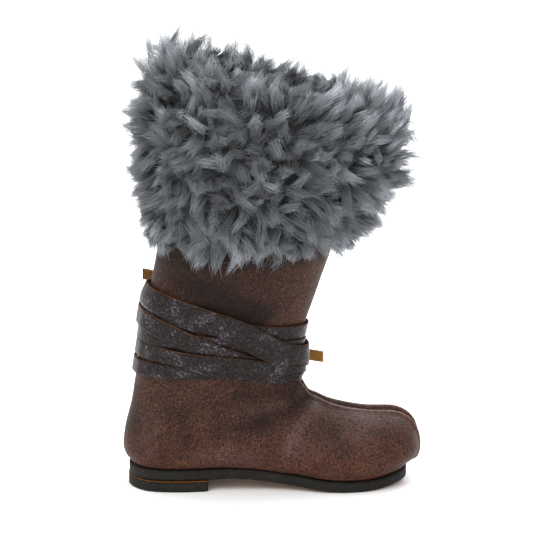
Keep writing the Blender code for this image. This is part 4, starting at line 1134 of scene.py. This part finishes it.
class BootSoleSettings(bpy.types.PropertyGroup):
    edge_colour: colour("Edge paint", "Colour of the paint on the sole's edges", EDGE_PAINT_COLOUR)
    board_colour: colour("Board", "Colour of the fibreboard below and inside", BOARD_COLOUR)
    glue_colour: colour("Glue line", "Colour of the raw line above the heel", GLUE_COLOUR)


class BootFurSettings(bpy.types.PropertyGroup):
    fur_colour: colour("Fur", "The strands' middle colour", FUR_COLOUR)
    undercoat_shade_colour: colour("Undercoat", "Colour of the wool under the locks", UNDERCOAT_SHADE_COLOUR)
    strands: IntProperty(name="Strands", description="How many strands the cuff has", default=84000, min=1000)
    lock_spacing: length("Lock spacing", "Distance from one lock to the next", 0.0019)
    strand_width: length("Strand width", "Radius of a strand at its root", 0.00013)
    gather: share("Gather", "How tightly the tightest lock's strands meet at its tip", 0.92)
    stray: length("Stray", "How far single strands leave their lock", 0.00075)
    crimp: length("Crimp", "How far a strand bends away from its neighbours", 0.00095)
    curl: share("Curl", "How much a lock bends, as a share of its length", 0.40)
    lean_spread: share("Lean spread", "How much the locks' directions differ", 0.70)
    swirl: share("Swirl", "How much the pile's direction drifts from place to place", 1.00)
    swirl_size: length("Swirl size", "Distance over which the pile's direction drifts", 0.0075)


class BootStageSettings(bpy.types.PropertyGroup):
    floor_colour: colour("Table", "Colour of the table", FLOOR_COLOUR)
    floor_radius: length("Table radius", "Size of the table", 6.0)
    surround: share("Surround", "Strength of the white surround", 1.04)
    key_power: power("Key light", "Power of the light at the left in front", 3.0)
    top_power: power("Top light", "Power of the light above", 6.0)
    back_power: power("Back light", "Power of the light behind", 3.0)


class BOOT_OT_leather(bpy.types.Operator):
    """Build the leather upper"""
    bl_idname = "boot.leather"
    bl_label = "Leather upper"

    def execute(self, context):
        make_upper(context.scene.boot_leather)
        return {"FINISHED"}


class BOOT_OT_sole(bpy.types.Operator):
    """Build the outsole, the heel lift and the insole"""
    bl_idname = "boot.sole"
    bl_label = "Sole, heel and insole"

    def execute(self, context):
        make_sole(context.scene.boot_sole)
        make_insole(context.scene.boot_sole)
        return {"FINISHED"}


class BOOT_OT_straps(bpy.types.Operator):
    """Build the wound strap, its knot and its tails"""
    bl_idname = "boot.straps"
    bl_label = "Strap, knot and tails"

    def execute(self, context):
        make_straps(context.scene.boot_strap)
        return {"FINISHED"}


class BOOT_OT_fur(bpy.types.Operator):
    """Grow the fur cuff"""
    bl_idname = "boot.fur"
    bl_label = "Fur cuff"

    def execute(self, context):
        make_fur(context.scene.boot_fur)
        return {"FINISHED"}


class BOOT_OT_stage(bpy.types.Operator):
    """Set the table, the lights and the camera"""
    bl_idname = "boot.stage"
    bl_label = "Stage"

    def execute(self, context):
        make_stage(context.scene.boot_stage)
        return {"FINISHED"}


OPERATORS = (BOOT_OT_leather, BOOT_OT_sole, BOOT_OT_straps, BOOT_OT_fur, BOOT_OT_stage)
GROUPS = {"boot_leather": BootLeatherSettings, "boot_strap": BootStrapSettings, "boot_sole": BootSoleSettings,
          "boot_fur": BootFurSettings, "boot_stage": BootStageSettings}


class BOOT_PT_panel(bpy.types.Panel):
    """The boot's builders and sizes"""
    bl_idname = "BOOT_PT_panel"
    bl_label = "Boot"
    bl_space_type = "VIEW_3D"
    bl_region_type = "UI"
    bl_category = "Boot"

    def draw(self, context):
        for operator in OPERATORS:
            self.layout.operator(operator.bl_idname)
        for group in GROUPS:
            values = getattr(context.scene, group)
            box = self.layout.box()
            for name in values.__annotations__:
                box.prop(values, name)


def register():
    for item in (*GROUPS.values(), *OPERATORS, BOOT_PT_panel):
        bpy.utils.register_class(item)
    for name, group in GROUPS.items():
        setattr(bpy.types.Scene, name, PointerProperty(type=group))


def unregister():
    for name in GROUPS:
        delattr(bpy.types.Scene, name)
    for item in (BOOT_PT_panel, *reversed(OPERATORS), *reversed(GROUPS.values())):
        bpy.utils.unregister_class(item)


def main():
    """Build everything in order."""
    register()
    bpy.ops.boot.leather()
    bpy.ops.boot.sole()
    bpy.ops.boot.straps()
    bpy.ops.boot.fur()
    bpy.ops.boot.stage()


if __name__ == "__main__":
    main()
